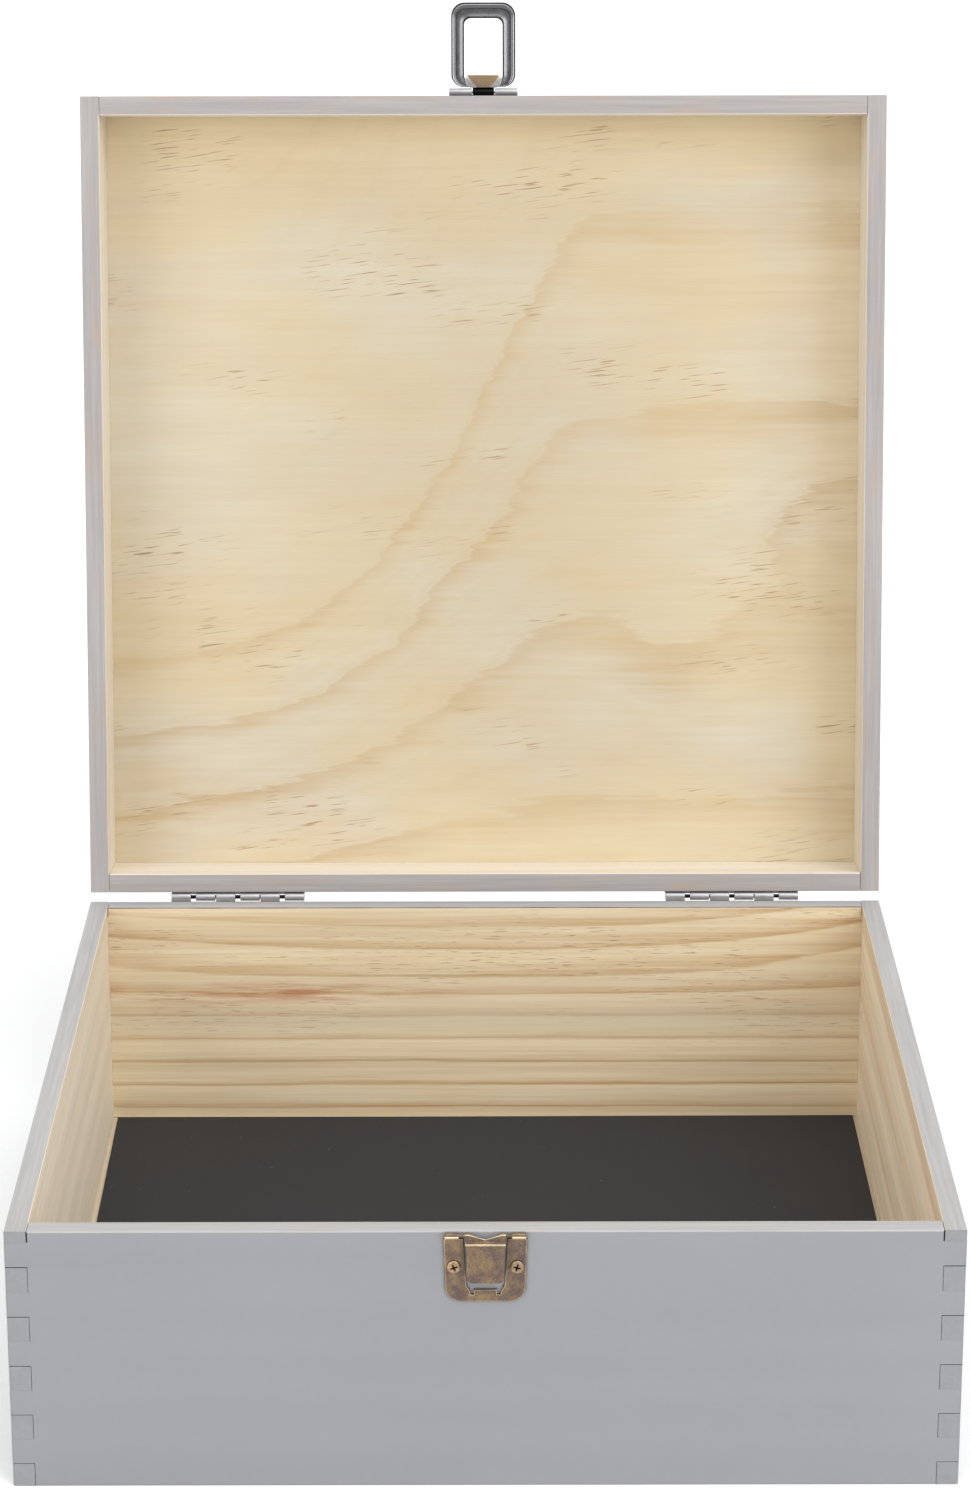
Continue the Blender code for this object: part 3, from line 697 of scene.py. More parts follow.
# %% Ply face
def ply_face(name):
    """Contours of level = v (1 - 0.615 s) - 17 s, where s steps up across the sheet."""
    ring_pitch, first_ring = 29.0, -7.0
    finish = Finish(name, Specular_IOR_Level=0.3)
    place = finish.place("grain")
    across_m, up_m, into = finish.parts(place)
    wander = finish.noise(place, (11.0, 16.0, 1.0), 3.0, 0.5) - 0.5
    wander_up = finish.noise(place, (17.0, 12.0, 3.0), 3.0, 0.5) - 0.5
    across = across_m * 1000.0 + wander * 16.0
    up = up_m * 1000.0 + wander_up * 9.0
    slope = across.rise(-95.0, 45.0)
    level = up * (1.0 - slope * 0.615) - slope * 17.3
    level = level - (across + 139.0) * (1.0 - slope) * 0.15
    hump = across.hill(74.0, 26.0) * up.hill(60.0, 55.0)
    knoll = across.hill(146.0, 38.0) * up.hill(134.0, 26.0)
    arch = across.hill(76.0, 34.0) * up.hill(0.0, 30.0)
    level = level + hump * 8.0 - knoll * 26.0 - arch * 9.0
    fibre = finish.noise(place, (24.0, 1100.0, 100.0), 4.0, 0.65)
    streak = finish.noise(place, (12.0, 340.0, 40.0), 3.0, 0.6)
    blotch = finish.noise(place, (16.0, 80.0, 9.0), 3.0, 0.6)
    frayed = level + (streak - 0.5) * 9.0 + (blotch - 0.5) * 10.0
    ring = ((frayed - first_ring) / ring_pitch).calc("FRACT")
    minor = ((frayed - first_ring) / (ring_pitch / 3)).calc("FRACT")
    band = ring.rise(0.62, 0.95) * ring.rise(1.0, 0.94) + ring.rise(0.12, 0.0) * 0.3
    half_band = minor.rise(0.35, 0.95) * minor.rise(1.0, 0.8)
    vary = finish.noise(place, (9.0, 15.0, 1.0), 3.0, 0.55)
    cloud = finish.noise(place, (9.0, 26.0, 1.0), 4.0, 0.55)
    low_part = level.rise(91.0, 77.0) * 0.85 + 0.15
    tone = band * (vary * 1.8 - 0.45).calc("MAXIMUM", 0.05) * 0.46 * low_part
    tone = tone + half_band * 0.06 * low_part
    tone = 0.16 + tone + (fibre - 0.5) * 0.22 + (streak - 0.5) * 0.24 + (cloud - 0.5) * 0.5
    tone = tone.clipped()
    cool = finish.noise(place, (10.0, 17.0, 7.0), 3.0, 0.5).rise(0.40, 0.62)
    pale = finish.blend(colour(211, 198, 168), colour(208, 201, 183), cool)
    # Painted shade and painted light: the middle of the panel is darkened and its top and right edges
    # lightened, evening out how the lamps fall on it.
    centre_painted_shade = up_m.hill(180.0 * MM, 115.0 * MM) * across_m.hill(0.0, 115.0 * MM) * 0.6
    pale = finish.blend(pale, colour(178, 168, 146), centre_painted_shade)
    outer = across_m.rise(108.0 * MM, 140.0 * MM) * 0.6
    outer = outer.calc("MAXIMUM", up_m.rise(252.0 * MM, 282.0 * MM))
    pale = finish.blend(pale, colour(232, 216, 182), outer)
    base = finish.blend(pale, colour(176, 140, 84), tone)
    tilted = finish.join(across_m, up_m - across_m * 0.13, into)
    tick = finish.noise(tilted, (80.0, 1500.0, 1.0), 1.0, 0.4).rise(0.61, 0.71)
    where = finish.noise(place, (13.0, 30.0, 1.0), 2.0, 0.5).rise(0.52, 0.66)
    base = finish.blend(base, colour(140, 98, 62), tick * where * 0.7)
    finish.drive(
        Base_Color=base,
        Roughness=0.56 - tone * 0.06,
        Normal=finish.bump(fibre - tick * 0.5, 0.05 * MM, 0.6),
    )
    return finish


# %% Build the lid's panel
def rectangle(half_x, half_y):
    return np.array(((half_x, -half_y), (half_x, half_y), (-half_x, half_y), (-half_x, -half_y)))


panel_rings = rings_of(rectangle(HALF_WIDTH, HALF_DEPTH), LID_PANEL, 0.7 * MM, 0.1 * MM)
panel_x, panel_y, panel_depth = split(panel_rings)
panel_points = joined(panel_x, panel_y, PANEL_INSIDE + LID_PANEL - panel_depth)
panel_grain = joined(panel_x, HALF_DEPTH - BOARD - panel_y, panel_depth)
make_piece(
    "lid_top_panel", [shell(panel_points, 0, 0, 1, panel_grain)], "lid", ["lid_panel"],
    [paint_face, ply_face("bare_ply_face")],
)

# %% [markdown]
# ## The base and the floor board
#
# The base is thin birch ply in the rebate. On it lies a loose sheet of black card-faced board, cut a
# little small and not quite square to the walls, so a pale strip of base shows beside it.


# %% Birch ply
def birch_ply(name):
    """Pale ply: faint cloudy figure along x, with fine fibres."""
    finish = Finish(name, Specular_IOR_Level=0.3, Roughness=0.6)
    place = finish.place("grain")
    fibre = finish.noise(place, (25.0, 900.0, 300.0), 4.0, 0.6)
    cloud = finish.noise(place, (8.0, 40.0, 8.0), 3.0, 0.5)
    tone = (fibre * 0.5 + cloud * 0.7 - 0.1).clipped()
    finish.drive(
        Base_Color=finish.blend(colour(232, 222, 202), colour(212, 194, 164), tone),
        Normal=finish.bump(fibre, 0.04 * MM, 0.5),
    )
    return finish


# %% Black board
def black_board(name):
    """Matte black board: a fine paper tooth, faint clouds and a few pale dust specks."""
    finish = Finish(name, Specular_IOR_Level=0.3)
    place = finish.place("grain")
    tooth = finish.noise(place, (1500.0, 1500.0, 200.0), 3.0, 0.6)
    cloud = finish.noise(place, (12.0, 12.0, 2.0), 4.0, 0.5)
    dust = finish.noise(place, (480.0, 480.0, 60.0), 1.0, 0.4).rise(0.78, 0.84)
    tone = cloud * 0.6 + tooth * 0.4
    base = finish.blend(colour(31, 34, 40), colour(46, 49, 56), tone)
    finish.drive(
        Base_Color=finish.blend(base, colour(150, 148, 144), dust * 0.35),
        Roughness=0.62 + (cloud - 0.5) * 0.2,
        Normal=finish.bump(tooth, 0.03 * MM, 0.5),
    )
    return finish


# %% Build the base and the floor board
base_rings = rings_of(rectangle(146.2 * MM, 145.9 * MM), BASE_PANEL, 0.15 * MM, 0.15 * MM)
make_piece(
    "base_sheet", [shell(base_rings)], "box", ["base_panel"],
    [birch_ply("bare_birch_base")],
)

FLOOR_TWIST = math.radians(0.25)
FLOOR_SHIFT = 0.68 * MM
floor_rings = rings_of(rectangle(141.4 * MM, 141.1 * MM), FLOOR_BOARD, 0.12 * MM, 0.12 * MM)
floor_x, floor_y, floor_z = split(floor_rings)
cos, sin = math.cos(FLOOR_TWIST), math.sin(FLOOR_TWIST)
turned_x = floor_x * cos - floor_y * sin
floor_points = joined(turned_x + FLOOR_SHIFT, floor_x * sin + floor_y * cos, floor_z + REBATE)
make_piece(
    "loose_floor_board", [shell(floor_points, grain=floor_rings)], "box", ["floor_board"],
    [black_board("black_floor_board")],
)

# %% [markdown]
# ## Metals
#
# The hinges are bright nickel over pressed steel. The loop is a darker nickel, nearly gunmetal. The
# catch on the body is brass left to tarnish, golden where fingers rub it and purple-grey elsewhere.
# Lighter and darker copies of the finishes go on face by face: painted highlights on edges and bends,
# and painted shade in hollows, on side walls and on pins.


# %% Nickel
def nickel(name, tone, roughness, mottle):
    """Plated steel: drawing lines along x, and MOTTLE for faint handling marks."""
    finish = Finish(name, Metallic=1.0)
    place = finish.place()
    drawn = finish.noise(place, (60.0, 2600.0, 2600.0), 3.0, 0.6)
    marks = finish.noise(place, (260.0, 260.0, 260.0), 3.0, 0.55)
    shade = 0.5 + (marks - 0.5) * mottle + (drawn - 0.5) * 0.25
    dark = colour(*(part * 0.86 for part in tone))
    light = colour(*(min(part * 1.1, 255.0) for part in tone))
    finish.drive(
        Base_Color=finish.blend(dark, light, shade.clipped()),
        Roughness=roughness + (marks - 0.5) * 0.16,
        Normal=finish.bump(drawn, 0.01 * MM, 0.4),
    )
    return finish


# %% Aged brass
def aged_brass(name, gold, shade, recess_shade=0.0):
    """Tarnished brass: golden and purple-grey in clouds. The last argument darkens a screw's cross and
    the edge of its head, read from the grain attribute: painted shade.
    """
    finish = Finish(name, Metallic=1.0)
    place = finish.place()
    clouds = finish.noise(place, (230.0, 230.0, 230.0), 5.0, 0.65)
    grit = finish.noise(place, (1900.0, 1900.0, 1900.0), 3.0, 0.6)
    tarnish = (clouds + (grit - 0.5) * 0.6).rise(0.30, 0.68)
    base = finish.blend(colour(*gold), colour(*shade), tarnish)
    # Painted shade: the grain attribute's first part marks a screw's cross and the ring at its head's
    # edge, which are darkened.
    recess_shading = finish.parts(finish.place("grain"))[0] * recess_shade
    base = finish.blend(base, colour(44, 36, 30), recess_shading.clipped())
    finish.drive(
        Base_Color=base,
        Roughness=0.33 + tarnish * 0.14 + (grit - 0.5) * 0.1,
        Normal=finish.bump(grit * 0.4 + clouds * 0.6, 0.02 * MM, 0.5),
    )
    return finish


bright_nickel = nickel("bright_nickel", (180, 179, 180), 0.46, 0.6)
dark_nickel = nickel("dark_nickel", (100, 100, 103), 0.24, 0.5)
# Painted shade: near-black nickel for the hinge pins and the loop's edges and barrel.
black_nickel = nickel("black_nickel", (30, 30, 32), 0.34, 0.4)
# Painted highlights: the two lighter nickels go on edges and bands that catch light.
rubbed_nickel = nickel("rubbed_nickel", (206, 206, 208), 0.24, 0.4)
worn_nickel = nickel("worn_nickel", (136, 136, 138), 0.26, 0.5)
brass = aged_brass("aged_brass", (142, 120, 92), (104, 91, 88))
# Painted highlights and painted shade: brass copies for bright edges and bends, and for dark side
# walls.
brass_edge_highlight = aged_brass("aged_brass_plate_edge", (196, 172, 136), (160, 138, 112))
brass_painted_highlight = aged_brass("aged_brass_worn_edge", (255, 240, 206), (232, 210, 172))
brass_painted_shade = aged_brass("aged_brass_dark_edge", (62, 52, 42), (48, 42, 40))
brass_screw = aged_brass("aged_brass_screw", (186, 158, 122), (150, 130, 112), 1.0)
print(len(bpy.data.materials), "finishes so far, the last of them metals")

# %% [markdown]
# ## Sheet-metal helpers
#
# Pressed fittings are flat blanks with strips rolled round a pin. A rolled strip is drawn as its
# middle line in section, thickened to both sides, and then given its width along the pin.


# %% Section of a bent strip
def strip_section(path, sheet):
    """Outline of a strip about its middle line: the line moved by half the sheet to both sides."""
    ahead = np.gradient(path, axis=0)
    ahead /= np.linalg.norm(ahead, axis=1, keepdims=True)
    aside = joined(-ahead[:, 1], ahead[:, 0]) * sheet / 2
    return anticlockwise(np.concatenate((path + aside, (path - aside)[::-1])))


def arc(centre, radius, start, stop, steps):
    """Points on an arc: centre + radius (cos t, sin t), with t in degrees."""
    turn = np.radians(np.linspace(start, stop, steps + 1))
    return joined(centre[0] + radius * np.cos(turn), centre[1] + radius * np.sin(turn))


# %% A strip rolled round a pin
def knuckle_section(radius, sheet, neck):
    """The section of a knuckle about its pin, as (out, up)."""
    middle = radius - sheet / 2
    path = np.concatenate((
        np.array(((-middle, -neck), (-middle, -neck * 0.5))),
        arc((0.0, 0.0), middle, 180.0, -112.0, 30),
    ))
    return strip_section(path, sheet)


def highlight_strips(radius, sheet, neck, low, high):
    """Which strips of a knuckle get a painted highlight: those facing between two angles, in degrees.
    """
    section = knuckle_section(radius, sheet, neck)
    facing = np.degrees(np.arctan2(section[:, 1], section[:, 0]))
    outside = np.hypot(section[:, 0], section[:, 1]) > radius * 0.9
    return ((facing > low) & (facing < high) & outside).astype(int)[None, :]


def rolled(low_x, high_x, pin, out, up, radius, sheet, neck):
    """A knuckle. OUT is +1 or -1 away from the wood, UP away from the neck it is rolled from."""
    section = knuckle_section(radius, sheet, neck)
    rings = rings_of(section, high_x - low_x, 0.12 * MM, 0.12 * MM)
    a, b, along = split(rings)
    return joined(low_x + along, pin[1] + out * a, pin[2] + up * b)


def rod(low_x, high_x, pin, radius, rounding):
    """A round pin along x."""
    circle = arc((0.0, 0.0), radius, 0.0, 360.0, 28)[:-1]
    rings = rings_of(circle, high_x - low_x, rounding, rounding)
    a, b, along = split(rings)
    return joined(low_x + along, pin[1] + a, pin[2] + b)


def blank(half, straight, rounded, corner, steps):
    """(x, z) of a blank: square corners where z is STRAIGHT, and round ones where it is ROUNDED."""
    up = math.copysign(1.0, rounded - straight)
    turn = arc((half - corner, rounded - up * corner), corner, 0.0, 90.0 * up, steps)
    right = np.concatenate((((half, straight),), turn))
    return np.concatenate((right, (right * (-1.0, 1.0))[::-1]))


def plate(outline, face, out, sheet, rounding):
    """A flat blank against a wall. OUTLINE is (x, z), FACE the y of its side on the wood."""
    rings = rings_of(anticlockwise(outline), sheet, rounding, 0.05 * MM)
    x, z, depth = split(rings)
    return joined(x, face + out * (sheet - depth), z)


def pair(near, far):
    """(low x, high x) on the left and on the right, from NEAR to FAR off the middle, in mm."""
    return ((-far * MM, -near * MM), (near * MM, far * MM))


# %% [markdown]
# Small pan-head screws hold every fitting. A Boolean could cut the cross, but it leaves ragged faces.
# Here the head is one height over a disc, the dome less the cross, so it stays closed and smooth.

# %% A cross-head screw
HEAD_RADIUS = 2.3 * MM
HEAD_HEIGHT = 0.88 * MM
HEAD_SPOKES = 120
CROSS_SHARE = 0.66
CROSS_RINGS = 30
CROWN_RINGS = 14
CROSS_REACH = 1.25 * MM


def screw_head(place, out, turn):
    """A pan head: dome H (1 - (r/R)^3.2)^0.5, less a cross whose arms taper and rise outwards."""
    inner = np.linspace(0.02, CROSS_SHARE, CROSS_RINGS)
    rounding = np.sin(np.linspace(0.0, math.pi / 2, CROWN_RINGS + 1)[1:])
    share = np.concatenate((inner, CROSS_SHARE + (1.0 - CROSS_SHARE) * rounding))[:, None]
    angle = np.linspace(0.0, 2.0 * math.pi, HEAD_SPOKES + 1)[None, :-1]
    a = share * np.cos(angle - turn) * HEAD_RADIUS
    b = share * np.sin(angle - turn) * HEAD_RADIUS

    def arm(length, width):
        left = np.clip(1.0 - np.abs(length) / CROSS_REACH, 0.0, 1.0)
        half = (0.20 + 0.12 * left) * MM
        edge = np.clip((half - np.abs(width)) / (0.08 * MM) + 0.5, 0.0, 1.0)
        return left ** 0.45 * edge * edge * (3.0 - 2.0 * edge)

    cross = np.maximum(arm(a, b), arm(b, a)) * 0.62 * HEAD_HEIGHT
    height = HEAD_HEIGHT * np.sqrt(np.clip(1.0 - share ** 3.2, 0.0, 1.0)) - cross
    x = place[0] + share * np.cos(angle) * HEAD_RADIUS
    z = place[2] + share * np.sin(angle) * HEAD_RADIUS
    y = place[1] + out * height
    # Painted shade: 1 in the cross and in a thin ring at the head's edge, where the brass is darkened.
    rim = np.clip((share + 0.0 * angle - 0.955) / 0.02, 0.0, 1.0)
    recess = np.clip(cross / (0.3 * HEAD_HEIGHT) + rim, 0.0, 1.0)
    return joined(x, y, z), joined(recess, recess, recess)


def add_screw(name, body, node, finish, place, out, turn):
    """A screw's head as a piece. Its grain attribute is 1 in the cross and at the head's edge, where
    painted shade darkens it, and 0 elsewhere.
    """
    head, recess = screw_head(place, out, turn)
    make_piece(name, [shell(head, grain=recess)], body, [node], [finish])


# %% [markdown]
# ## Hinges
#
# Each hinge is two nickel leaves on the outside of the back. Three knuckles roll up from each leaf
# and share one pin. The blanks are cut in pairs, so the gaps between knuckles are wide and narrow
# by turns, and the bare pin shows in the wide ones.

# %% Hinge sizes
KNUCKLES = 6
HINGE_LENGTH = 50.7 * MM
HINGE_PITCH = HINGE_LENGTH / KNUCKLES
HINGE_RADIUS = 1.5 * MM
HINGE_SHEET = 0.7 * MM
HINGE_PLATE = 0.9 * MM
HINGE_FACE = HALF_DEPTH + 0.2 * MM
HINGE_LEAF = 16.0 * MM
HINGE_EDGE = HINGE_RADIUS + 0.3 * MM
WIDE_GAP = 1.0 * MM
NARROW_GAP = 0.18 * MM
END_GAP = 0.1 * MM
HINGE_PIN = 0.7 * MM
HINGE_SCREW = 16.5 * MM


# %% Build the hinges
def hinge_leaf(centre, first, up):
    """A leaf with its three knuckles, drawn shut. UP is +1 for the body's leaf, -1 for the lid's."""
    start = centre - HINGE_LENGTH / 2
    near_edge = LID_PIN[2] - up * (HINGE_RADIUS + 0.06 * MM)
    far_edge = LID_PIN[2] - up * (HINGE_EDGE + HINGE_LEAF)
    outline = blank(HINGE_LENGTH / 2, near_edge, far_edge, 1.5 * MM, 6)
    shells = [plate(outline + (centre, 0.0), HINGE_FACE, 1.0, HINGE_PLATE, 0.2 * MM)]
    gaps = (END_GAP, WIDE_GAP, NARROW_GAP, WIDE_GAP, NARROW_GAP, WIDE_GAP, END_GAP)
    for i in range(first, KNUCKLES, 2):
        low_x = start + i * HINGE_PITCH + gaps[i]
        high_x = start + (i + 1) * HINGE_PITCH - gaps[i + 1]
        shells.append(rolled(
            low_x, high_x, LID_PIN, 1.0, up, HINGE_RADIUS, HINGE_SHEET, HINGE_EDGE + HINGE_PLATE
        ))
    return shells


LEAVES = (("lower", "box", "body", 1.0), ("upper", "lid", "lid", -1.0))
for side, centre in (("left", -94.0 * MM), ("right", 94.0 * MM)):
    for first, (leaf, body, wood, up) in enumerate(LEAVES):
        make_piece(
            f"hinge_{side}_{leaf}", [shell(rings) for rings in hinge_leaf(centre, first, up)], body,
            [f"hinge_{side}_{wood}_leaf"], [bright_nickel],
        )
    half = HINGE_LENGTH / 2 - 0.02 * MM
    # The pin is near black: painted shade in the wide gaps between the knuckles.
    pin = rod(centre - half, centre + half, LID_PIN, HINGE_PIN, 0.15 * MM)
    make_piece(
        f"hinge_{side}_rod", [shell(pin)], "box", [f"hinge_{side}_pin"],
        [black_nickel],
    )
    for end, sign in (("outer", -1), ("inner", 1)):
        x = centre + sign * math.copysign(HINGE_SCREW, -centre)
        for leaf, body, wood, up in LEAVES:
            z = LID_PIN[2] - up * (HINGE_EDGE + HINGE_LEAF / 2)
            turn = x / MM * (8.0 + up)
            add_screw(
                f"hinge_{side}_{leaf}_head_{end}", body, f"hinge_{side}_{wood}_screw_{end}",
                bright_nickel, (x, HINGE_FACE + HINGE_PLATE, z), 1.0, turn,
            )

# %% [markdown]
# ## The catch on the body
#
# A brass plate is held by two screws. Its top edge is rolled into two knuckles, and a tongue swings
# on the pin between them. The window behind the tongue is punched out, and a small tab bridges it.

# %% Catch sizes
FRONT = -HALF_DEPTH
TONGUE_PIN = np.array(joints["tongue_lift"]["pos_m"])
CATCH_RADIUS = 1.05 * MM
CATCH_SHEET = 0.45 * MM
CATCH_PLATE = 0.7 * MM
CATCH_FACE = FRONT - 0.2 * MM
CATCH_PIN = 0.5 * MM
TONGUE_SHEET = 0.66 * MM
TONGUE_ROUNDING = 0.16 * MM


# %% Outline of the catch plate
def catch_outline():
    """(x, z) of a U with a tabbed bridge: right arm, foot and left arm, then back up inside."""
    half, foot, corner, height = 13.1, 12.6, 5.0, 23.8
    top = CATCH_RADIUS / MM + 1.3
    bridge = height - 4.2
    round_foot = arc((foot - corner, height - corner), corner, 0.0, 90.0, 10)
    right = np.concatenate((((6.9, top), (half, top)), round_foot))
    inner = np.array((
        (5.9, bridge - 1.2), (4.9, bridge + 0.3), (4.6, bridge + 1.7), (3.7, bridge + 1.7),
        (3.7, bridge),
    ))
    flip = (-1.0, 1.0)
    outline = np.concatenate((right, (right * flip)[::-1], inner * flip, inner[::-1]))
    return outline * (MM, -MM) + (0.0, BODY_HEIGHT)


# %% Build the catch plate, its pin and screws
catch_rings = plate(catch_outline(), CATCH_FACE, -1.0, CATCH_PLATE, 0.34 * MM)
PAINTED_HIGHLIGHT, PAINTED_SHADE, EDGE = 1, 2, 3
# Painted highlight and painted shade: the first strips of the plate's rounded front edge are bright,
# and the rest of the rounding and the side walls dark.
plate_light_and_shade = np.full((len(catch_rings) - 1, 1), PAINTED_SHADE)
plate_light_and_shade[:2] = EDGE
plate_shells = [shell(catch_rings, plate_light_and_shade)]
knuckle = (CATCH_RADIUS, CATCH_SHEET, 2.2 * MM)
# The catch's knuckles take the bright brass on strips facing one way: painted highlights.
knuckle_highlight = highlight_strips(*knuckle, -68.0, -2.0)
for low_x, high_x in pair(8.3, 12.7):
    rings = rolled(low_x, high_x, TONGUE_PIN, -1.0, 1.0, *knuckle)
    plate_shells.append(shell(rings, knuckle_highlight))
make_piece(
    "catch_back_plate", plate_shells, "box", ["catch_plate"],
    [brass, brass_painted_highlight, brass_painted_shade, brass_edge_highlight],
)
stubs = [shell(rod(*span, TONGUE_PIN, CATCH_PIN, 0.1 * MM)) for span in pair(4.9, 12.72)]
make_piece("catch_rod", stubs, "box", ["catch_pin"], [brass])
for side, x, turn in (("left", -9.85 * MM, 0.35), ("right", 9.85 * MM, -0.26)):
    add_screw(
        f"catch_head_{side}", "box", f"catch_screw_{side}", brass_screw,
        (x, CATCH_FACE - CATCH_PLATE, BODY_HEIGHT - 11.9 * MM), -1.0, turn,
    )

# %% [markdown]
# The tongue is a strip bent out over the loop and rounded at its tip. Its head has a shallow V
# between two curls. It is one surface of two parameters, how far along the strip and how far across,
# and Solidify and Bevel give it its sheet and its softened edges.


# %% The tongue
def tongue_grid():
    """(x, out, up) about the pin. Rows follow the strip; columns cross it from edge to edge."""
    front, tip_up, corner = 3.1, -14.7, 2.0
    neck, shoulder = 5.85, 6.4
    columns, corner_rows = 41, 8
    knots = np.array((
        (0.95, 0.80), (1.05, 0.2), (1.15, -0.6), (1.3, -1.3), (1.42, -1.72), (1.62, -1.98),
        (2.05, -2.12), (2.55, -2.22), (2.90, -2.38), (3.07, -2.68), (front, -3.1), (front, -4.2),
    ))
    step = np.linspace(0.0, len(knots) - 1.0, 45)
    bend = joined(*(np.interp(step, np.arange(len(knots)), values) for values in knots.T))
    straight = np.linspace(-4.4, tip_up + corner, 16)
    turn = np.linspace(0.0, math.pi / 2, corner_rows + 1)[1:]
    low = np.concatenate((straight, tip_up + corner * (1.0 - np.sin(turn))))
    path = np.concatenate((bend, joined(np.full(len(low), front), low)))
    half = np.interp(path[:, 1], (-3.0, -2.0), (neck, shoulder))
    half[-corner_rows:] = neck - corner * (1.0 - np.cos(turn))
    share = np.linspace(-1.0, 1.0, columns)
    x = half[:, None] * share
    out, up = np.repeat(path.T[:, :, None], columns, axis=2)
    notch = 1.75 * np.clip(1.0 - np.abs(share) / 0.8, 0.0, 1.0)
    up = up - notch * np.clip((up + 1.6) / 2.4, 0.0, 1.0)
    return joined(x * MM, TONGUE_PIN[1] - out * MM, TONGUE_PIN[2] + up * MM)


tongue_points = tongue_grid()
# Painted highlights: the first strips and the strips across the bend take the bright brass.
tongue_highlight_rows = np.zeros((len(tongue_points) - 1, 1), int)
tongue_highlight_rows[:2] = PAINTED_HIGHLIGHT
tongue_highlight_rows[24:31] = PAINTED_HIGHLIGHT
tongue = make_piece(
    "tongue_strip", [shell(tongue_points, tongue_highlight_rows, kind="flat")], "tongue", ["latch_tongue"],
    [brass, brass_painted_highlight],
)
sheet = tongue.modifiers.new("sheet", "SOLIDIFY")
sheet.thickness = TONGUE_SHEET
sheet.offset = 0.0
soften = tongue.modifiers.new("softened_edges", "BEVEL")
soften.width = TONGUE_ROUNDING
soften.segments = 3
soften.limit_method = "ANGLE"
soften.angle_limit = math.radians(50)
# The bevel's faces take the bright brass too: painted highlights on the softened edges.
soften.material = PAINTED_HIGHLIGHT
curls = [shell(rod(*span, TONGUE_PIN, 1.0 * MM, 0.15 * MM)) for span in pair(4.85, 6.38)]
make_piece("tongue_curls", curls, "tongue", [], [brass])

# %% [markdown]
# ## The loop on the lid
#
# The loop is pressed from dark nickel into a shallow channel: its rims stand proud on the side that
# faces forward when the box is open. Its section is carried round between two rounded rectangles,
# the outer edge and the window. Across the section the edges are painted near black as painted shade,
# and a strip and a band of the hollow are painted lighter as painted highlights.

# %% Loop sizes
LOOP_RADIUS = 1.45 * MM
LOOP_PIN_RADIUS = 0.5 * MM
LOOP_SHEET = 0.42 * MM
LOOP_PIN_SHUT = np.array((0.0, FRONT - 0.2 * MM - LOOP_RADIUS, 100.4 * MM))


def ring_outline(half, low, high, near_corner, far_corner, steps=10, straight=12):
    """A rounded rectangle as (x, r): its corners arcs, its sides cut into equal steps."""
    corners = (
        ((half - near_corner, low + near_corner), near_corner, -90.0),
        ((half - far_corner, high - far_corner), far_corner, 0.0),
        ((far_corner - half, high - far_corner), far_corner, 90.0),
        ((near_corner - half, low + near_corner), near_corner, 180.0),
    )
    arcs = [arc(centre, radius, start, start + 90.0, steps) for centre, radius, start in corners]
    share = np.linspace(0.0, 1.0, straight + 2)[1:-1, None]
    sides = [one[-1] + (two[0] - one[-1]) * share for one, two in zip(arcs, arcs[1:] + arcs[:1])]
    return np.concatenate([part for pair in zip(arcs, sides) for part in pair])


def loop_local(points):
    """(x, out from the lid, up) about the loop's pin, with the lid shut."""
    x, reach, up = split(points)
    return joined(x, LOOP_PIN_SHUT[1] - reach, LOOP_PIN_SHUT[2] + up)


# %% The loop's channel section, carried round
def loop_channel():
    """Section points (t, h): t from the outer edge to the window, h the height over the pin."""
    section = np.array((
        (0.00, 1.66), (0.015, 1.48), (0.045, 1.37), (0.09, 1.31), (0.15, 1.34), (0.20, 1.50),
        (0.28, 1.70), (0.42, 1.78), (0.60, 1.72), (0.76, 1.56), (0.86, 1.40), (0.92, 1.33),
        (0.975, 1.40), (1.00, 1.60), (0.99, 1.90), (0.94, 2.14), (0.82, 2.30), (0.62, 2.38),
        (0.38, 2.38), (0.18, 2.28), (0.06, 2.08), (0.01, 1.86),
    ))
    outer = ring_outline(12.0, 2.0, 33.2, 4.6, 5.0)
    window = ring_outline(7.2, 3.9, 27.4, 2.4, 2.6)
    share, height = section.T[:, :, None]
    x, reach = (outer.T[:, None] * (1.0 - share) + window.T[:, None] * share) * MM
    return joined(x, reach, np.broadcast_to((height - 0.4) * MM, x.shape))


def loop_root():
    """The strip that joins the loop's near bar to its pin: an S in section, then a curl."""
    path = np.concatenate((
        np.array(((3.2, 1.34), (2.5, 1.36), (1.8, 1.33), (1.2, 1.20))) * MM,
        arc((0.0, 0.0), LOOP_RADIUS - LOOP_SHEET / 2, 55.0, 300.0, 24),
    ))
    rings = rings_of(strip_section(path, LOOP_SHEET), 8.0 * MM, 0.1 * MM, 0.1 * MM)
    reach, up, along = split(rings)
    return joined(along - 4.0 * MM, reach, up)


LOOP_METALS = [dark_nickel, black_nickel, rubbed_nickel, worn_nickel]
channel = loop_channel()
# Finish of each section row: 1 near black for painted shade, 2 and 3 lighter for painted highlights;
# the root and its curl round the pin are all near black, painted shade on the barrel.
LOOP_LIGHT_AND_SHADE = (1, 1, 1, 2, 0, 0, 0, 3, 3, 3, 3, 1, 1, 1, 0, 0, 0, 0, 0, 1, 1, 1)
loop_shells = [
    shell(loop_local(channel), np.array(LOOP_LIGHT_AND_SHADE)[:, None], kind="rolled"),
    shell(loop_local(loop_root()), 1, 1, 1),
]
make_piece("loop_ring", loop_shells, "loop", ["latch_loop"], LOOP_METALS)

# %% [markdown]
# A small brass-coloured leaf sits in the loop's root between two bright nickel wings, flat blanks
# that stand in for glints at its lower corners: painted highlights. All three are flat blanks with
# broken edges, so an outline given its thickness by rings is enough. Their edge strips take the
# brighter finish, as painted highlights too.

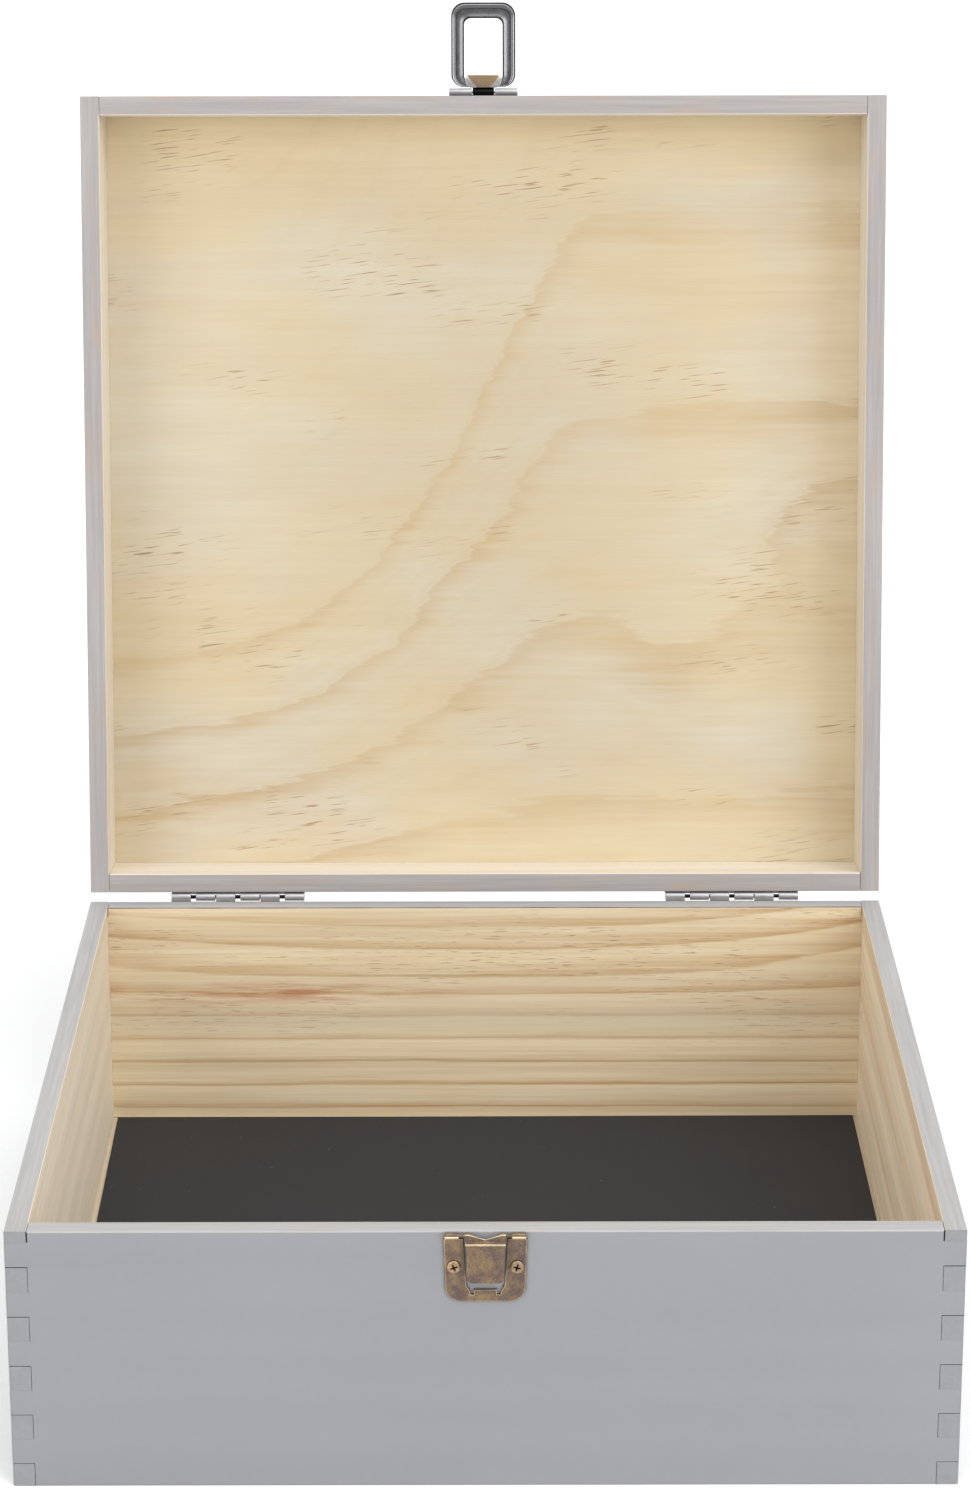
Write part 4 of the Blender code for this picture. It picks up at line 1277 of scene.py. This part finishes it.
# %% The brass leaf in the loop's root
def leaf_shell(outline, sheet, shift):
    rings = rings_of(anticlockwise(np.array(outline) * MM), sheet, 0.15 * MM, 0.15 * MM)
    # Edge strips take the second, brighter finish: painted highlights.
    return shell(loop_local(rings + (0.0, 0.0, shift - sheet / 2)), 1)


leaf_corners = ((2.2, 1.8), (3.4, 2.5), (6.0, 5.7), (6.0, 6.45))
mirrored_corners = tuple((-x, reach) for x, reach in reversed(leaf_corners))
leaf = leaf_shell(leaf_corners + mirrored_corners, 0.6 * MM, 0.0)
make_piece(
    "loop_root_leaf", [leaf], "loop", ["loop_leaf"], [brass_screw, brass_painted_highlight]
)
glint_wings = [
    leaf_shell(
        [(sign * x, r) for x, r in ((2.3, 1.7), (5.0, 1.7), (6.5, 2.6), (6.8, 4.6), (6.4, 5.9))],
        0.5 * MM, 0.1 * MM,
    )
    for sign in (-1.0, 1.0)
]
make_piece("loop_root_wings", glint_wings, "loop", [], [bright_nickel, rubbed_nickel])

# %% [markdown]
# The loop hangs from a nickel plate on the lid's front, with two rolled knuckles and two screws, made
# with the same helpers as the catch.

# %% Build the loop's plate
plate_half = 12.85 * MM
plate_low = LOOP_PIN_SHUT[2] + LOOP_RADIUS + 0.2 * MM
plate_high = LOOP_PIN_SHUT[2] + 16.0 * MM
plate_outline = blank(plate_half, plate_low, plate_high, 5.0 * MM, 10)
hanger = [shell(plate(plate_outline, CATCH_FACE, -1.0, CATCH_PLATE, 0.22 * MM))]
for low_x, high_x in pair(4.3, 12.8):
    rings = rolled(
        low_x, high_x, LOOP_PIN_SHUT, -1.0, -1.0, LOOP_RADIUS, CATCH_SHEET, 2.6 * MM
    )
    hanger.append(shell(rings))
make_piece("loop_hanger_plate", hanger, "lid", ["loop_plate"], [bright_nickel])
loop_pin = rod(-12.8 * MM, 12.8 * MM, LOOP_PIN_SHUT, LOOP_PIN_RADIUS, 0.1 * MM)
make_piece("loop_rod", [shell(loop_pin)], "lid", ["loop_pin"], [bright_nickel])
for side, x, turn in (("left", -8.0 * MM, 0.5), ("right", 8.0 * MM, 0.1)):
    add_screw(
        f"loop_head_{side}", "lid", f"loop_screw_{side}", brass_screw,
        (x, CATCH_FACE - CATCH_PLATE, LOOP_PIN_SHUT[2] + 10.0 * MM), -1.0, turn,
    )

# %% [markdown]
# ## Studio
#
# The box stands on a plain white sweep under broad soft light from above. The light from behind the
# camera is weaker, so the front stays a middle grey while the rims and the inside of the lid are
# bright.

# %% Floor
FLOOR_REACH = 12.0
FLOOR_LEVEL = -0.05 * MM
floor_mesh = bpy.data.meshes.new("studio_floor")
floor_corners = joined(*rectangle(FLOOR_REACH, FLOOR_REACH).T, np.full(4, FLOOR_LEVEL))
floor_mesh.from_pydata(floor_corners.tolist(), [], [(0, 1, 2, 3)])
studio_floor = bpy.data.objects.new("studio_floor", floor_mesh)
bpy.context.scene.collection.objects.link(studio_floor)
floor_finish = Finish("white_sweep", Roughness=0.9, Specular_IOR_Level=0.0)
floor_finish.drive(Base_Color=(0.94, 0.94, 0.94, 1.0))
floor_mesh.materials.append(floor_finish.material)


# %% Lights
def add_sun(name, elevation, azimuth, strength, angle):
    """A soft sun. AZIMUTH 0 comes from behind the camera and 90 from its right."""
    data = bpy.data.lights.new(name, "SUN")
    data.energy = strength
    data.angle = math.radians(angle)
    sun = bpy.data.objects.new(name, data)
    bpy.context.scene.collection.objects.link(sun)
    sun.rotation_euler = (math.radians(90.0 - elevation), 0.0, math.radians(azimuth))


add_sun("soft_key", 64.0, 22.0, 1.25, 50.0)
add_sun("right_fill", 24.0, 42.0, 1.2, 40.0)
add_sun("left_fill", 24.0, -42.0, 0.97, 40.0)
bpy.context.scene.view_settings.view_transform = "Standard"

world = bpy.data.worlds.new("studio")
bpy.context.scene.world = world
world.use_nodes = True
sky = Wiring(world.node_tree, "Background")
direction = sky.node("ShaderNodeTexCoord", {}, {}, "Generated")
behind = sky.parts(direction)[1].rise(-1.0, 0.35)
sky.drive(Color=(1.0, 1.0, 1.0, 1.0), Strength=0.30 + behind * 0.65)
print("studio ready")
